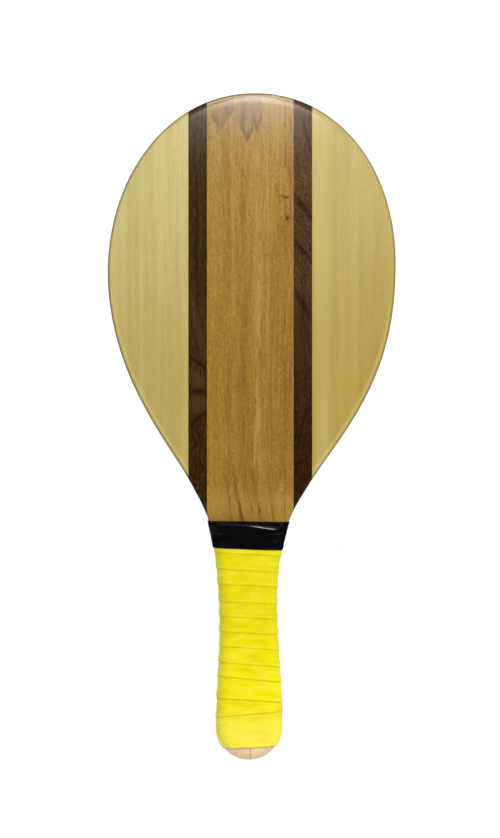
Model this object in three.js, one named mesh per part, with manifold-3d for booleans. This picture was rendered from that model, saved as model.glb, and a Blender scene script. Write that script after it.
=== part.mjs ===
// A frescobol racket. Five planks glued edge to edge make the blade, and the centre plank runs on down
// into the handle as its tang. Two pairs of cheeks thicken the handle, a soft tape is wound over them
// from the butt up to the neck, and a black collar of finishing tape binds the upper end.
//
// Millimetres, +Z up towards the crown, front face towards -Y, left and right as seen from the front.
// Everything is worked out in heights above the butt, and the group then puts the middle of the hand
// grip on the origin.

import * as THREE from 'three';
import { mergeVertices } from 'three/addons/utils/BufferGeometryUtils.js';
import Module from 'manifold-3d';

const { degToRad, lerp } = THREE.MathUtils;
const quarterTurn = Math.PI / 2;

// Blade outline: a crown above the widest point, and a flank that curves in below it to the neck's turn
const overallLength = 470;
const widestHeight = 345.3;
const bladeHalfWidth = 101.55;
const crownExponent = 2.07;
const turnHeight = 190;
const turnHalfWidth = 39.1;
const turnFlare = degToRad(28.4);

// Handle outline: a hollow neck down to the waist, a swelling below it, and a round butt
const waistHeight = 103;
const waistHalfWidth = 19.4;
const buttRadius = 22.5;

// How far each curve keeps its direction at its lower and upper end, as shares of its height
const flankPullShares = [0.24, 0.514];
const neckPullShares = [0.694, 0.11];
const handlePullShares = [1 / 3, 1 / 3];

// Planks: their joints lean a little from the racket's own axis, which they cross in the neck
const bladeThickness = 10;
const edgeRound = 2.5;
const centrePlankWidth = 61.1;
const walnutWidth = 13.1;
const plankLean = degToRad(0.545);
const plankCrossing = 176;
const glueLine = 0.15;

// Handle cheeks: rounded over their whole thickness, with a shoulder that drops to the blade
const cheekThickness = 8;
const shoulderLength = 12;
const tangLap = 0.5;

// Collar of finishing tape at the neck
const collarTop = 167.9;
const collarWidth = 19.5;
const collarThickness = 0.9;
const collarLap = 2.5;
const collarSlant = degToRad(1.2);

// Grip tape: each turn's lower edge is the thick one, as it lies on the turn below
const wrapClearance = 0.35;
const turnPitch = 11.3;
const turnGap = 0.5;
const lowerEdgeThickness = 1.2;
const upperEdgeThickness = 0.7;
const tailWidth = 2;
const bareButtMargin = 0.6;

// How far cutting blocks stand clear of what they cut
const overrun = 10;

// Steps along each stretch of the outline, and round its edges
const buttSteps = 12;
const handleSteps = 7;
const neckSteps = 9;
const flankSteps = 13;
const crownSteps = 26;
const edgeRoundSteps = 4;
const handleRoundSteps = 4;
const shoulderSteps = 6;

// Sizes that follow from those above
const tangHalf = bladeThickness / 2;
const handleHalf = tangHalf + cheekThickness;
const handleRound = cheekThickness;
const shoulderTop = collarTop - collarLap;
const shoulderStart = shoulderTop - shoulderLength;
const collarBottom = collarTop - collarWidth;
const gripBottom = handleRound + bareButtMargin;
const gripTop = collarBottom - wrapClearance;
const gripMiddle = (gripBottom + gripTop) / 2;

const wasm = await Module();
wasm.setup();

// The outline: points of the right-hand edge from the butt up to the crown, each with its outward normal

function buttEdge() {
  return Array.from({ length: buttSteps }, (_, step) => {
    const angle = quarterTurn * step / buttSteps;
    const normal = new THREE.Vector2(Math.sin(angle), -Math.cos(angle));
    const at = normal.clone().multiplyScalar(buttRadius);
    at.y += buttRadius;
    return { at, normal };
  });
}

// A curve between two ends, each with its flare from upright. It leaves out its own last point
function curveEdge(lower, upper, pullShares, steps) {
  const rise = upper.height - lower.height;
  const point = ({ halfWidth, height, flare }, pull) => (
    new THREE.Vector2(halfWidth + pull * Math.sin(flare), height + pull * Math.cos(flare))
  );
  const curve = new THREE.CubicBezierCurve(
    point(lower, 0),
    point(lower, rise * pullShares[0]),
    point(upper, -rise * pullShares[1]),
    point(upper, 0),
  );
  return Array.from({ length: steps }, (_, step) => {
    const tangent = curve.getTangent(step / steps);
    return { at: curve.getPoint(step / steps), normal: new THREE.Vector2(tangent.y, -tangent.x) };
  });
}

function crownEdge() {
  const crownRise = overallLength - widestHeight;
  return Array.from({ length: crownSteps + 1 }, (_, step) => {
    const angle = quarterTurn * step / crownSteps;
    const across = Math.max(0, Math.cos(angle));
    const up = Math.sin(angle);
    const power = 2 / crownExponent;
    const at = new THREE.Vector2(bladeHalfWidth * across ** power, widestHeight + crownRise * up ** power);
    const normal = new THREE.Vector2(across ** (2 - power) / bladeHalfWidth, up ** (2 - power) / crownRise);
    return { at, normal: normal.normalize() };
  });
}

function rightEdge() {
  const swelling = { halfWidth: buttRadius, height: buttRadius, flare: 0 };
  const waist = { halfWidth: waistHalfWidth, height: waistHeight, flare: 0 };
  const turn = { halfWidth: turnHalfWidth, height: turnHeight, flare: turnFlare };
  const widest = { halfWidth: bladeHalfWidth, height: widestHeight, flare: 0 };
  return [
    ...buttEdge(),
    ...curveEdge(swelling, waist, handlePullShares, handleSteps),
    ...curveEdge(waist, turn, neckPullShares, neckSteps),
    ...curveEdge(turn, widest, flankPullShares, flankSteps),
    ...crownEdge(),
  ];
}

const edge = rightEdge();

function insetPoint({ at, normal }, inset) {
  return at.clone().addScaledVector(normal, -inset);
}

function halfWidthAt(height, inset) {
  const next = Math.max(1, edge.findIndex((point) => insetPoint(point, inset).y >= height));
  const below = insetPoint(edge[next - 1], inset);
  const above = insetPoint(edge[next], inset);
  return Math.max(0, lerp(below.x, above.x, (height - below.y) / (above.y - below.y)));
}

// Half the handle's thickness at a height, a wrapping's offset further out: the cheeks' shoulder is a
// quarter of an ellipse, and above it the wrapping lies on the blade
function halfThicknessAt(height, offset) {
  const rise = Math.max(0, height - shoulderStart) / (shoulderLength + offset);
  const crest = (cheekThickness + offset) * Math.sqrt(Math.max(0, 1 - rise ** 2));
  return tangHalf + Math.max(crest, offset);
}

// Solids and the cutting blocks

function solidFrom(geometry) {
  geometry.deleteAttribute('normal');
  geometry.deleteAttribute('uv');
  const merged = mergeVertices(geometry);
  const vertProperties = merged.attributes.position.array;
  const triVerts = Uint32Array.from(merged.index.array);
  return new wasm.Manifold(new wasm.Mesh({ numProp: 3, vertProperties, triVerts }));
}

function geometryFrom(solid) {
  const { vertProperties, triVerts } = solid.getMesh();
  const geometry = new THREE.BufferGeometry();
  geometry.setAttribute('position', new THREE.BufferAttribute(vertProperties, 3));
  geometry.setIndex(new THREE.BufferAttribute(triVerts, 1));
  return geometry;
}

// A board sawn to the racket's outline, with its edges rounded over on both faces
function board(thickness, round, roundSteps) {
  const right = edge.map(({ at }) => at);
  const left = right.slice(1, -1).reverse().map(({ x, y }) => new THREE.Vector2(-x, y));
  const depth = thickness - 2 * round;
  const geometry = new THREE.ExtrudeGeometry(new THREE.Shape([...right, ...left]), {
    depth,
    bevelEnabled: round > 0,
    bevelThickness: round,
    bevelSize: round,
    bevelOffset: -round,
    bevelSegments: roundSteps,
  });
  geometry.translate(0, 0, -depth / 2);
  geometry.rotateX(quarterTurn);
  return solidFrom(geometry);
}

function block(left, right, bottom, top) {
  const depth = 2 * (handleHalf + overrun);
  const geometry = new THREE.BoxGeometry(right - left, depth, top - bottom);
  geometry.translate((left + right) / 2, 0, (bottom + top) / 2);
  return geometry;
}

// A block over the racket's whole length, leaning as the planks do
function leaningBlock(left, right) {
  const geometry = block(left, right, -overrun, overallLength + overrun);
  geometry.translate(0, 0, -plankCrossing);
  geometry.rotateY(-plankLean);
  geometry.translate(0, 0, plankCrossing);
  return solidFrom(geometry);
}

const outside = bladeHalfWidth + overrun;

// The five planks are parts of one blank: above the shoulder its edges are rounded, and below it they stay
// square

function blank() {
  const rounded = board(bladeThickness, edgeRound, edgeRoundSteps);
  const square = board(bladeThickness, 0, 0);
  const blade = rounded.intersect(solidFrom(block(-outside, outside, shoulderTop, overallLength + overrun)));
  const tang = square.intersect(solidFrom(block(-outside, outside, -overrun, shoulderTop + tangLap)));
  return blade.add(tang);
}

function plank(left, right) {
  return blank().intersect(leaningBlock(left + glueLine / 2, right - glueLine / 2));
}

// The cheeks: the handle's rounded outline, cut to the shoulder's profile and in two halves

function cheek(face, left, right) {
  const inner = tangHalf + glueLine;
  const crestEnd = Math.acos(glueLine / cheekThickness);
  const shoulder = Array.from({ length: shoulderSteps + 1 }, (_, step) => {
    const angle = crestEnd * step / shoulderSteps;
    const out = tangHalf + cheekThickness * Math.cos(angle);
    return new THREE.Vector2(out, shoulderStart + shoulderLength * Math.sin(angle));
  });
  const profile = new THREE.Shape([
    new THREE.Vector2(inner, -overrun),
    new THREE.Vector2(handleHalf + overrun, -overrun),
    new THREE.Vector2(handleHalf + overrun, shoulderStart),
    ...shoulder,
  ]);
  const geometry = new THREE.ExtrudeGeometry(profile, { depth: 2 * outside, bevelEnabled: false });
  geometry.translate(0, 0, -outside);
  const toFace = new THREE.Vector3(0, face, 0);
  const up = new THREE.Vector3(0, 0, 1);
  geometry.applyMatrix4(new THREE.Matrix4().makeBasis(toFace, up, toFace.clone().cross(up)));
  const handle = board(2 * handleHalf, handleRound, handleRoundSteps);
  return handle.intersect(solidFrom(geometry)).intersect(leaningBlock(left, right));
}

// Places round the handle's section, clockwise seen from above, from the middle of the front. On a
// rounded corner each has the angle of its normal from the side
function sectionStations() {
  const steps = Array.from({ length: handleRoundSteps + 1 }, (_, step) => quarterTurn * step / handleRoundSteps);
  const toFace = (side, face) => steps.map((angle) => ({ side, face, angle }));
  const toSide = (side, face) => toFace(side, face).reverse();
  return [
    { side: 0, face: -1, angle: quarterTurn },
    ...toSide(-1, -1),
    { side: -1, face: 0, angle: 0 },
    ...toFace(-1, 1),
    { side: 0, face: 1, angle: quarterTurn },
    ...toSide(1, 1),
    { side: 1, face: 0, angle: 0 },
    ...toFace(1, -1),
  ];
}

const stations = sectionStations();

// A point of a wrapping that lies a clear offset from the handle's wood. On the shoulder the rounded
// corner stops short where the lower crest cuts it, and its stations draw together
function wrapPoint({ side, face, angle }, height, offset) {
  const round = handleRound + offset;
  const cornerEnd = Math.asin(Math.min(1, (halfThicknessAt(height, offset) - tangHalf) / round));
  const turned = angle * cornerEnd / quarterTurn;
  const across = halfWidthAt(height, handleRound - round * Math.cos(turned));
  const out = tangHalf + round * Math.sin(turned);
  return new THREE.Vector3(side * across, face * out, height);
}

// One closed skin over rings of points. Each ring runs up a wrapping's inner face and down its outer
// one. The skin joins up with itself, or is closed by a strip at each end
function skin(rings, endless) {
  const count = rings[0].length;
  const triangles = [];
  const addQuad = (a, b, c, d) => triangles.push(a, b, c, a, c, d);
  const joins = endless ? rings.length : rings.length - 1;
  for (let ring = 0; ring < joins; ring += 1) {
    const here = ring * count;
    const there = ((ring + 1) % rings.length) * count;
    for (let side = 0; side < count; side += 1) {
      const next = (side + 1) % count;
      addQuad(here + side, there + side, there + next, here + next);
    }
  }
  if (!endless) {
    const last = (rings.length - 1) * count;
    for (let inner = 0; inner < count / 2 - 1; inner += 1) {
      const outer = count - 1 - inner;
      addQuad(inner, inner + 1, outer - 1, outer);
      addQuad(last + outer, last + outer - 1, last + inner + 1, last + inner);
    }
  }
  const geometry = new THREE.BufferGeometry();
  geometry.setAttribute('position', new THREE.Float32BufferAttribute(rings.flat().flatMap((p) => p.toArray()), 3));
  geometry.setIndex(triangles);
  return geometry;
}

// The grip tape: one unbroken winding from the butt to the collar

// How far round its loop each station lies, measured along the section at the waist
function turnShares() {
  const points = stations.map((station) => wrapPoint(station, waistHeight, wrapClearance));
  const steps = points.map((point, index) => point.distanceTo(points[(index + 1) % points.length]));
  const girth = steps.reduce((sum, step) => sum + step);
  let gone = 0;
  return steps.map((step) => {
    const share = gone / girth;
    gone += step;
    return share;
  });
}

function slanted(height, x) {
  return height - x * Math.tan(collarSlant);
}

function windingRings() {
  const shares = turnShares();
  const loops = Math.ceil((gripTop - gripBottom) / turnPitch) + 1;
  const rings = [];
  for (let step = 0; step < loops * stations.length; step += 1) {
    const station = stations[step % stations.length];
    const turns = Math.floor(step / stations.length) + shares[step % stations.length];
    const top = slanted(gripTop, wrapPoint(station, gripTop, 0).x);
    const lower = Math.max(gripBottom, gripBottom + (turns - 1) * turnPitch);
    const upper = Math.min(top, gripBottom + turns * turnPitch - turnGap);
    const middle = (lower + upper) / 2;
    const inner = wrapClearance;
    const lowerOut = inner + lowerEdgeThickness;
    const upperOut = inner + upperEdgeThickness;
    if (upper - lower >= tailWidth) {
      rings.push([
        wrapPoint(station, lower, inner),
        wrapPoint(station, middle, inner),
        wrapPoint(station, upper, inner),
        wrapPoint(station, upper, upperOut),
        wrapPoint(station, middle, (lowerOut + upperOut) / 2),
        wrapPoint(station, lower, lowerOut),
      ]);
    }
  }
  return rings;
}

// The least distance between points of the winding half a loop or more apart, at its corners and
// halfway along its sides
function leastSelfGap(rings) {
  const halfLoop = stations.length / 2;
  const measured = rings.map((ring) => ring.flatMap((point, index) => {
    const next = ring[(index + 1) % ring.length];
    return [point, point.clone().lerp(next, 0.5)];
  }));
  let least = Infinity;
  for (let first = 0; first < measured.length; first += 1) {
    for (let second = first + halfLoop; second < measured.length; second += 1) {
      for (const point of measured[first]) {
        for (const other of measured[second]) {
          least = Math.min(least, point.distanceToSquared(other));
        }
      }
    }
  }
  return Math.sqrt(least);
}

// The collar: one band round the neck, from the grip tape over the cheeks' shoulders on to the blade

function collarFace(station, offset) {
  const crestEnd = Math.acos(offset / (cheekThickness + offset));
  const crest = Array.from({ length: shoulderSteps + 1 }, (_, step) => {
    const angle = crestEnd * step / shoulderSteps;
    return wrapPoint(station, shoulderStart + (shoulderLength + offset) * Math.sin(angle), offset);
  });
  const bottom = slanted(collarBottom, wrapPoint(station, collarBottom, offset).x);
  const top = slanted(collarTop, wrapPoint(station, collarTop, offset).x);
  return [wrapPoint(station, bottom, offset), ...crest, wrapPoint(station, top, offset)];
}

function collarRings() {
  return stations.map((station) => [
    ...collarFace(station, wrapClearance),
    ...collarFace(station, wrapClearance + collarThickness).reverse(),
  ]);
}

// The assembly

const finishes = {
  sideBoard: { color: 0xcfc07c, roughness: 0.35, metalness: 0 },
  centre: { color: 0xb98f50, roughness: 0.35, metalness: 0 },
  walnut: { color: 0x4b3524, roughness: 0.4, metalness: 0 },
  cheek: { color: 0xc9a27c, roughness: 0.6, metalness: 0 },
  gripTape: { color: 0xf0e628, roughness: 0.75, metalness: 0 },
  collar: { color: 0x111214, roughness: 0.25, metalness: 0 },
};

const racket = new THREE.Group();
racket.position.z = -gripMiddle;

function addPiece(name, geometry, finish) {
  const mesh = new THREE.Mesh(geometry, new THREE.MeshStandardMaterial(finish));
  mesh.name = name;
  racket.add(mesh);
}

const centreEdge = centrePlankWidth / 2;
const walnutEdge = centreEdge + walnutWidth;
addPiece('centre_plank', geometryFrom(plank(-centreEdge, centreEdge)), finishes.centre);
addPiece('walnut_strip_left', geometryFrom(plank(-walnutEdge, -centreEdge)), finishes.walnut);
addPiece('walnut_strip_right', geometryFrom(plank(centreEdge, walnutEdge)), finishes.walnut);
addPiece('side_board_left', geometryFrom(plank(-outside, -walnutEdge)), finishes.sideBoard);
addPiece('side_board_right', geometryFrom(plank(walnutEdge, outside)), finishes.sideBoard);

const halfGlue = glueLine / 2;
addPiece('front_cheek_left', geometryFrom(cheek(-1, -outside, -halfGlue)), finishes.cheek);
addPiece('front_cheek_right', geometryFrom(cheek(-1, halfGlue, outside)), finishes.cheek);
addPiece('back_cheek_left', geometryFrom(cheek(1, -outside, -halfGlue)), finishes.cheek);
addPiece('back_cheek_right', geometryFrom(cheek(1, halfGlue, outside)), finishes.cheek);

const winding = windingRings();
console.log(`grip_tape: least gap to itself ${leastSelfGap(winding).toFixed(3)} mm`);
addPiece('grip_tape', skin(winding, false), finishes.gripTape);
addPiece('neck_collar', skin(collarRings(), true), finishes.collar);

export default racket;
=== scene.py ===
"""A frescobol racket, dressed for a plain studio picture.

The five planks of the blade, the handle's cheeks, the wound grip tape and the collar of finishing tape
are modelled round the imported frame, each with a procedural finish, and a camera looks at the front face
as the photograph does. Lengths are metres, but the finishes count in millimetres. Heights are counted
from the butt up, as a maker would, and each piece then stands where the frame has it.
"""

from __future__ import annotations

import logging
import math
from contextlib import contextmanager
from dataclasses import dataclass
from enum import Enum
from typing import Callable, Iterator, Sequence, Union

import bmesh
import bpy
import numpy as np
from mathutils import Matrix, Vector, noise

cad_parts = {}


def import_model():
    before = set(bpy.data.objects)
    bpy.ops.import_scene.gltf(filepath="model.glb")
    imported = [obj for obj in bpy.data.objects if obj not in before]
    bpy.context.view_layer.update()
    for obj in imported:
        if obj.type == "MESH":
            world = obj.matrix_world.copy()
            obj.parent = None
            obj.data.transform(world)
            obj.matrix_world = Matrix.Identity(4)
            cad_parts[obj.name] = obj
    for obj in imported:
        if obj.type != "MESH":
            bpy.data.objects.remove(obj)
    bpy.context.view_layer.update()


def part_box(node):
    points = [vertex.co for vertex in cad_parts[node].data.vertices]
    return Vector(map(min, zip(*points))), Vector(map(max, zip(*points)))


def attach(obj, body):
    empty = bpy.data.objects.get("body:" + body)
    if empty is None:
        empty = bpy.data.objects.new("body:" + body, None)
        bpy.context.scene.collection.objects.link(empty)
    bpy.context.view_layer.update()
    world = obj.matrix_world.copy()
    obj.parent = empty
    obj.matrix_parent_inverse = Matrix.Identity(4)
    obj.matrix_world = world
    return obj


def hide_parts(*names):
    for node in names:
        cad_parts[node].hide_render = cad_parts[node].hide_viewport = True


LOG = logging.getLogger("racket")
MM = 0.001
QUARTER = math.pi / 2
ROUND = 2 * math.pi
# How far the planks lean against the outline's axis, and how far above the butt they cross it
LEAN = math.radians(0.545)
CROSSING = 176 * MM

Array = np.ndarray
Piece = bpy.types.Object
Material = bpy.types.Material
Number = Union[float, Array]
Setting = Union["Wire", float, Sequence[float]]
Pair = tuple[float, float]


class Face(Enum):
    """The two faces of the racket, by the way they look along Y."""

    FRONT = -1
    BACK = 1


class Side(Enum):
    """The two sides of the racket, as seen from the front."""

    LEFT = -1
    RIGHT = 1


# The workbench: how pieces are shaped


def take(piece: Piece) -> None:
    """Selects one piece alone and makes it the active one.

    Args:
        piece: The piece.
    """
    bpy.ops.object.select_all(action="DESELECT")
    piece.select_set(True)
    bpy.context.view_layer.objects.active = piece


def start_piece(primitive: Callable, name: str, **sizes: object) -> Piece:
    """Adds a primitive as the start of a piece.

    Args:
        primitive: The operator that adds it.
        name: The piece's name.
        sizes: The operator's settings.

    Returns:
        The new object.
    """
    bpy.ops.object.select_all(action="DESELECT")
    primitive(**sizes)
    piece = bpy.context.object
    piece.name = name
    return piece


@contextmanager
def edit_mode(piece: Piece) -> Iterator[bmesh.types.BMesh]:
    """Opens a piece alone in edit mode with nothing selected.

    Args:
        piece: The mesh object to shape.

    Returns:
        The piece's edit mesh, for selecting faces and edges.
    """
    take(piece)
    bpy.ops.object.mode_set(mode="EDIT")
    bpy.ops.mesh.select_mode(type="EDGE")
    bpy.ops.mesh.select_all(action="DESELECT")
    try:
        yield bmesh.from_edit_mesh(piece.data)
    finally:
        bpy.ops.object.mode_set(mode="OBJECT")


def select_edges(
    piece: Piece, mesh: bmesh.types.BMesh, test: Callable[[bmesh.types.BMEdge], bool]
) -> None:
    """Selects the edges that pass a test.

    Args:
        piece: The object in edit mode.
        mesh: Its edit mesh.
        test: Says of one edge whether it is wanted.
    """
    for edge in mesh.edges:
        edge.select_set(test(edge))
    bmesh.update_edit_mesh(piece.data)


def face_outwards(piece: Piece) -> None:
    """Turns all faces of a shell outwards.

    Args:
        piece: The shell.
    """
    with edit_mode(piece):
        bpy.ops.mesh.select_all(action="SELECT")
        bpy.ops.mesh.normals_make_consistent(inside=False)


def mould(piece: Piece, points: Array) -> None:
    """Moves a piece's vertices to new places, one row of x, y and z for each."""
    piece.data.vertices.foreach_set("co", points.ravel())
    piece.data.update()


def apply_modifier(piece: Piece, kind: str, **settings: object) -> None:
    """Adds a modifier to a piece and applies it.

    Args:
        piece: The piece.
        kind: The modifier's type.
        settings: What it is set to.
    """
    take(piece)
    modifier = piece.modifiers.new(kind.lower(), kind)
    for name, value in settings.items():
        setattr(modifier, name, value)
    bpy.ops.object.modifier_apply(modifier=modifier.name)


def smooth(piece: Piece, angle: float = math.radians(35)) -> None:
    """Shades a piece smooth up to an angle, with its flat faces kept flat.

    Args:
        piece: The piece.
        angle: The sharpest bend that still looks round.
    """
    take(piece)
    bpy.ops.object.shade_smooth_by_angle(angle=angle)
    apply_modifier(piece, "WEIGHTED_NORMAL", keep_sharp=True)


def cut_board(name: str, points: Array, low: float, high: float) -> Piece:
    """Cuts a board to an outline.

    Args:
        name: The piece's name.
        points: Rows of x and z round the outline.
        low: The y of its front face.
        high: The y of its back face.

    Returns:
        The board, closed and facing outwards.
    """
    circle = bpy.ops.mesh.primitive_circle_add
    piece = start_piece(circle, name, vertices=len(points), radius=1, fill_type="NGON")
    for vertex, (x, z) in zip(piece.data.vertices, points):
        vertex.co = (x, low, z)
    with edit_mode(piece):
        bpy.ops.mesh.select_all(action="SELECT")
        bpy.ops.mesh.extrude_region_move(TRANSFORM_OT_translate={"value": (0, high - low, 0)})
    face_outwards(piece)
    return piece


def ringed_tube(name: str, stations: int, cuts: int, ends: str) -> tuple[Piece, Array, Array]:
    """Makes a tube of one unit, cut into rings, as the start of a piece that goes round.

    Args:
        name: The piece's name.
        stations: How many points stand round it.
        cuts: How many rings lie between its ends.
        ends: What closes its ends.

    Returns:
        The tube, and how far round and how far up each of its vertices stands, as shares.
    """
    cylinder = bpy.ops.mesh.primitive_cylinder_add
    piece = start_piece(cylinder, name, vertices=stations, radius=1, depth=1, end_fill_type=ends)
    with edit_mode(piece) as mesh:
        select_edges(piece, mesh, lambda edge: abs(edge.verts[0].co.z - edge.verts[1].co.z) > 0.5)
        bpy.ops.mesh.subdivide(number_cuts=cuts)
    flat = np.array([vertex.co[:] for vertex in piece.data.vertices])
    return piece, np.arctan2(flat[:, 1], flat[:, 0]) / ROUND, flat[:, 2] + 0.5


def saw(piece: Piece, point: Sequence[float], keep: Sequence[float]) -> None:
    """Saws a piece through and closes the cut.

    Args:
        piece: The piece.
        point: A point of the cut.
        keep: The direction from the cut towards the part that is kept.
    """
    with edit_mode(piece):
        bpy.ops.mesh.select_all(action="SELECT")
        bpy.ops.mesh.bisect(plane_co=point, plane_no=keep, use_fill=True, clear_inner=True)


def copy_piece(piece: Piece, name: str) -> Piece:
    """Copies a piece with a mesh of its own.

    Args:
        piece: The piece to copy.
        name: The copy's name.

    Returns:
        The copy.
    """
    copy = piece.copy()
    copy.data = piece.data.copy()
    copy.name = name
    bpy.context.scene.collection.objects.link(copy)
    return copy


def join(piece: Piece, other: Piece) -> None:
    """Joins another piece's mesh into a piece.

    Args:
        piece: The piece that stays.
        other: The piece that goes into it.
    """
    take(piece)
    other.select_set(True)
    bpy.ops.object.join()


def scrap(piece: Piece) -> None:
    """Throws away a blank that has been used up."""
    bpy.data.objects.remove(piece)


def fade(value: Number, start: float, end: float) -> Number:
    """Runs smoothly from 0 at the start to 1 at the end.

    Args:
        value: A number or an array of them.
        start: Where it is still 0.
        end: Where it is 1.

    Returns:
        The share that is reached.
    """
    share = np.clip((value - start) / (end - start), 0, 1)
    return share * share * (3 - 2 * share)


def ripple(points: Sequence[Array], octaves: int = 1) -> Array:
    """Soft random heights between about -1 and 1.

    Args:
        points: Columns of three coordinates, about one hill to each unit.
        octaves: How many finer layers are added.

    Returns:
        One height for each row.
    """
    rows = np.column_stack(points)
    if octaves == 1:
        return np.array([noise.noise(Vector(row)) for row in rows])
    return np.array([noise.fractal(Vector(row), 0.8, 2.0, octaves) for row in rows])


# The racket's shape


@dataclass(frozen=True)
class Outline:
    """The racket's outline, the same on both sides, in heights above the butt."""

    length: float
    half_width: float
    base: float
    widest_height: float = 345.3 * MM
    crown_exponent: float = 2.07
    turn_height: float = 190 * MM
    turn_half_width: float = 39.1 * MM
    turn_flare: float = math.radians(28.4)
    waist_height: float = 103 * MM
    waist_half_width: float = 19.4 * MM
    butt_radius: float = 22.5 * MM
    flank_pulls: Pair = (0.24, 0.514)
    neck_pulls: Pair = (0.694, 0.11)
    handle_pulls: Pair = (1 / 3, 1 / 3)
    # How far the hand-cut outline's middle strays to the right: pairs of height and distance
    strays_mm: tuple[Pair, ...] = (
        (0.0, 0.4),
        (35.0, 0.7),
        (84.0, 0.0),
        (112.0, -1.1),
        (140.0, -1.6),
        (180.0, -0.8),
        (205.0, -0.1),
        (253.0, 0.5),
        (296.0, 0.0),
        (338.0, -0.8),
        (380.0, 0.0),
        (437.0, 1.1),
        (475.0, 1.4),
    )
    stray_blend: float = 14 * MM
    stray_steps: int = 9
    butt_steps: int = 26
    curve_steps: int = 45
    crown_steps: int = 110

    def _curve(self, lower: Sequence[float], upper: Sequence[float], pulls: Pair) -> Array:
        """A stretch of edge between two ends, each with its half width, height and flare from upright.

        Args:
            lower: The lower end.
            upper: The upper end, which the next stretch starts with.
            pulls: How far each end keeps its direction, as shares of the stretch's height.

        Returns:
            Rows of x, height, and the outward normal's two parts.
        """
        rise = upper[1] - lower[1]
        ends = [np.array(lower[:2]), np.array(upper[:2])]
        ways = [np.array([math.sin(end[2]), math.cos(end[2])]) for end in (lower, upper)]
        hold = [ends[0], ends[0] + ways[0] * rise * pulls[0], ends[1] - ways[1] * rise * pulls[1], ends[1]]
        t = np.linspace(0, 1, self.curve_steps, endpoint=False)[:, None]
        s = 1 - t
        at = s**3 * hold[0] + 3 * s**2 * t * hold[1] + 3 * s * t**2 * hold[2] + t**3 * hold[3]
        go = s**2 * (hold[1] - hold[0]) + 2 * s * t * (hold[2] - hold[1]) + t**2 * (hold[3] - hold[2])
        go /= np.linalg.norm(go, axis=1)[:, None]
        return np.column_stack([at, go[:, 1], -go[:, 0]])

    def edge(self) -> Array:
        """The right-hand edge from the butt to the crown, as rows of x, height and outward normal."""
        turn = np.linspace(0, QUARTER, self.butt_steps, endpoint=False)
        sines, cosines = np.sin(turn), np.cos(turn)
        radius = self.butt_radius
        butt = np.column_stack([radius * sines, radius * (1 - cosines), sines, -cosines])
        swelling = (radius, radius, 0)
        waist = (self.waist_half_width, self.waist_height, 0)
        neck = (self.turn_half_width, self.turn_height, self.turn_flare)
        widest = (self.half_width, self.widest_height, 0)
        rise = self.length - self.widest_height
        turn = np.linspace(0, QUARTER, self.crown_steps + 1)
        across, up = np.clip(np.cos(turn), 0, 1), np.sin(turn)
        power = 2 / self.crown_exponent
        normal = np.column_stack([across ** (2 - power) / self.half_width, up ** (2 - power) / rise])
        normal /= np.linalg.norm(normal, axis=1)[:, None]
        place = [self.half_width * across**power, self.widest_height + rise * up**power]
        crown = np.column_stack([*place, normal])
        stretches = [
            butt,
            self._curve(swelling, waist, self.handle_pulls),
            self._curve(waist, neck, self.neck_pulls),
            self._curve(neck, widest, self.flank_pulls),
            crown,
        ]
        return np.vstack(stretches)

    def half_width_at(self, height: Number, inset: Number = 0.0) -> Number:
        """The half width at a height, of the outline drawn in by an inset.

        Args:
            height: Heights above the butt.
            inset: How far the outline is drawn in, one value for all heights.

        Returns:
            The half widths.
        """
        edge = self.edge()
        return np.interp(height, edge[:, 1] - inset * edge[:, 3], edge[:, 0] - inset * edge[:, 2])

    def stray(self, height: Number) -> Number:
        """How far right of its straight axis the outline's middle lies at a height."""
        heights, distances = np.transpose(self.strays_mm) * MM
        steps = np.linspace(-1, 1, self.stray_steps) * self.stray_blend
        return np.mean([np.interp(height + step, heights, distances) for step in steps], axis=0)

    def ring(self, top: float = math.inf) -> Array:
        """The whole outline up to a height, as rows of x and frame z.

        Args:
            top: Where it is cut off straight.

        Returns:
            The points, once round.
        """
        edge = self.edge()
        right = edge[edge[:, 1] < top - MM][:, :2]
        if top < self.length:
            right = np.vstack([right, [self.half_width_at(top), top]])
        left = right[1:][::-1] * [-1, 1]
        if top >= self.length:
            left = left[1:]
        whole = np.vstack([right, left])
        return whole + np.column_stack([self.stray(whole[:, 1]), whole[:, 1] * 0 + self.base])


@dataclass(frozen=True)
class HandleForm:
    """The handle's section: a flat tang between two cheeks, rounded over the cheeks' thickness."""

    outline: Outline
    tang_half: float = 5 * MM
    cheek: float = 8 * MM
    blade_round: float = 2.5 * MM
    shoulder_start: float = 153.4 * MM
    shoulder_length: float = 12 * MM

    @property
    def half(self) -> float:
        """Half the handle's thickness."""
        return self.tang_half + self.cheek

    def section(self, share: Array, height: Array, crest: Array, out: Array) -> Array:
        """Points round the handle, on a skin that lies clear of the wood.

        Args:
            share: How far round, from the middle of the right side over the front, 0 to 1.
            height: Heights above the butt.
            crest: How much of the cheeks' thickness is there, 0 to 1.
            out: How far the skin stands off the wood.

        Returns:
            Rows of x, y and frame z.
        """
        corner = self.blade_round + (self.cheek - self.blade_round) * crest
        half = self.tang_half + self.cheek * crest
        width = self.outline.half_width_at(height)
        flat_side, flat_face = half - corner, width - corner
        bend = corner + out
        quarter = flat_side + bend * QUARTER + flat_face
        turns = (share % 1) * 4
        quadrant = np.floor(turns).astype(int)
        within = turns - quadrant
        along = np.where(quadrant % 2 == 0, within, 1 - within) * quarter
        angle = np.clip((along - flat_side) / bend, 0, QUARTER)
        x = flat_face + bend * np.cos(angle) - np.clip(along - flat_side - bend * QUARTER, 0, None)
        y = np.minimum(along, flat_side) + bend * np.sin(angle)
        x = np.where((quadrant == 1) | (quadrant == 2), -x, x)
        y = np.where(quadrant < 2, -y, y)
        return np.column_stack([x + self.outline.stray(height), y, height + self.outline.base])


# Shader sums


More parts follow.
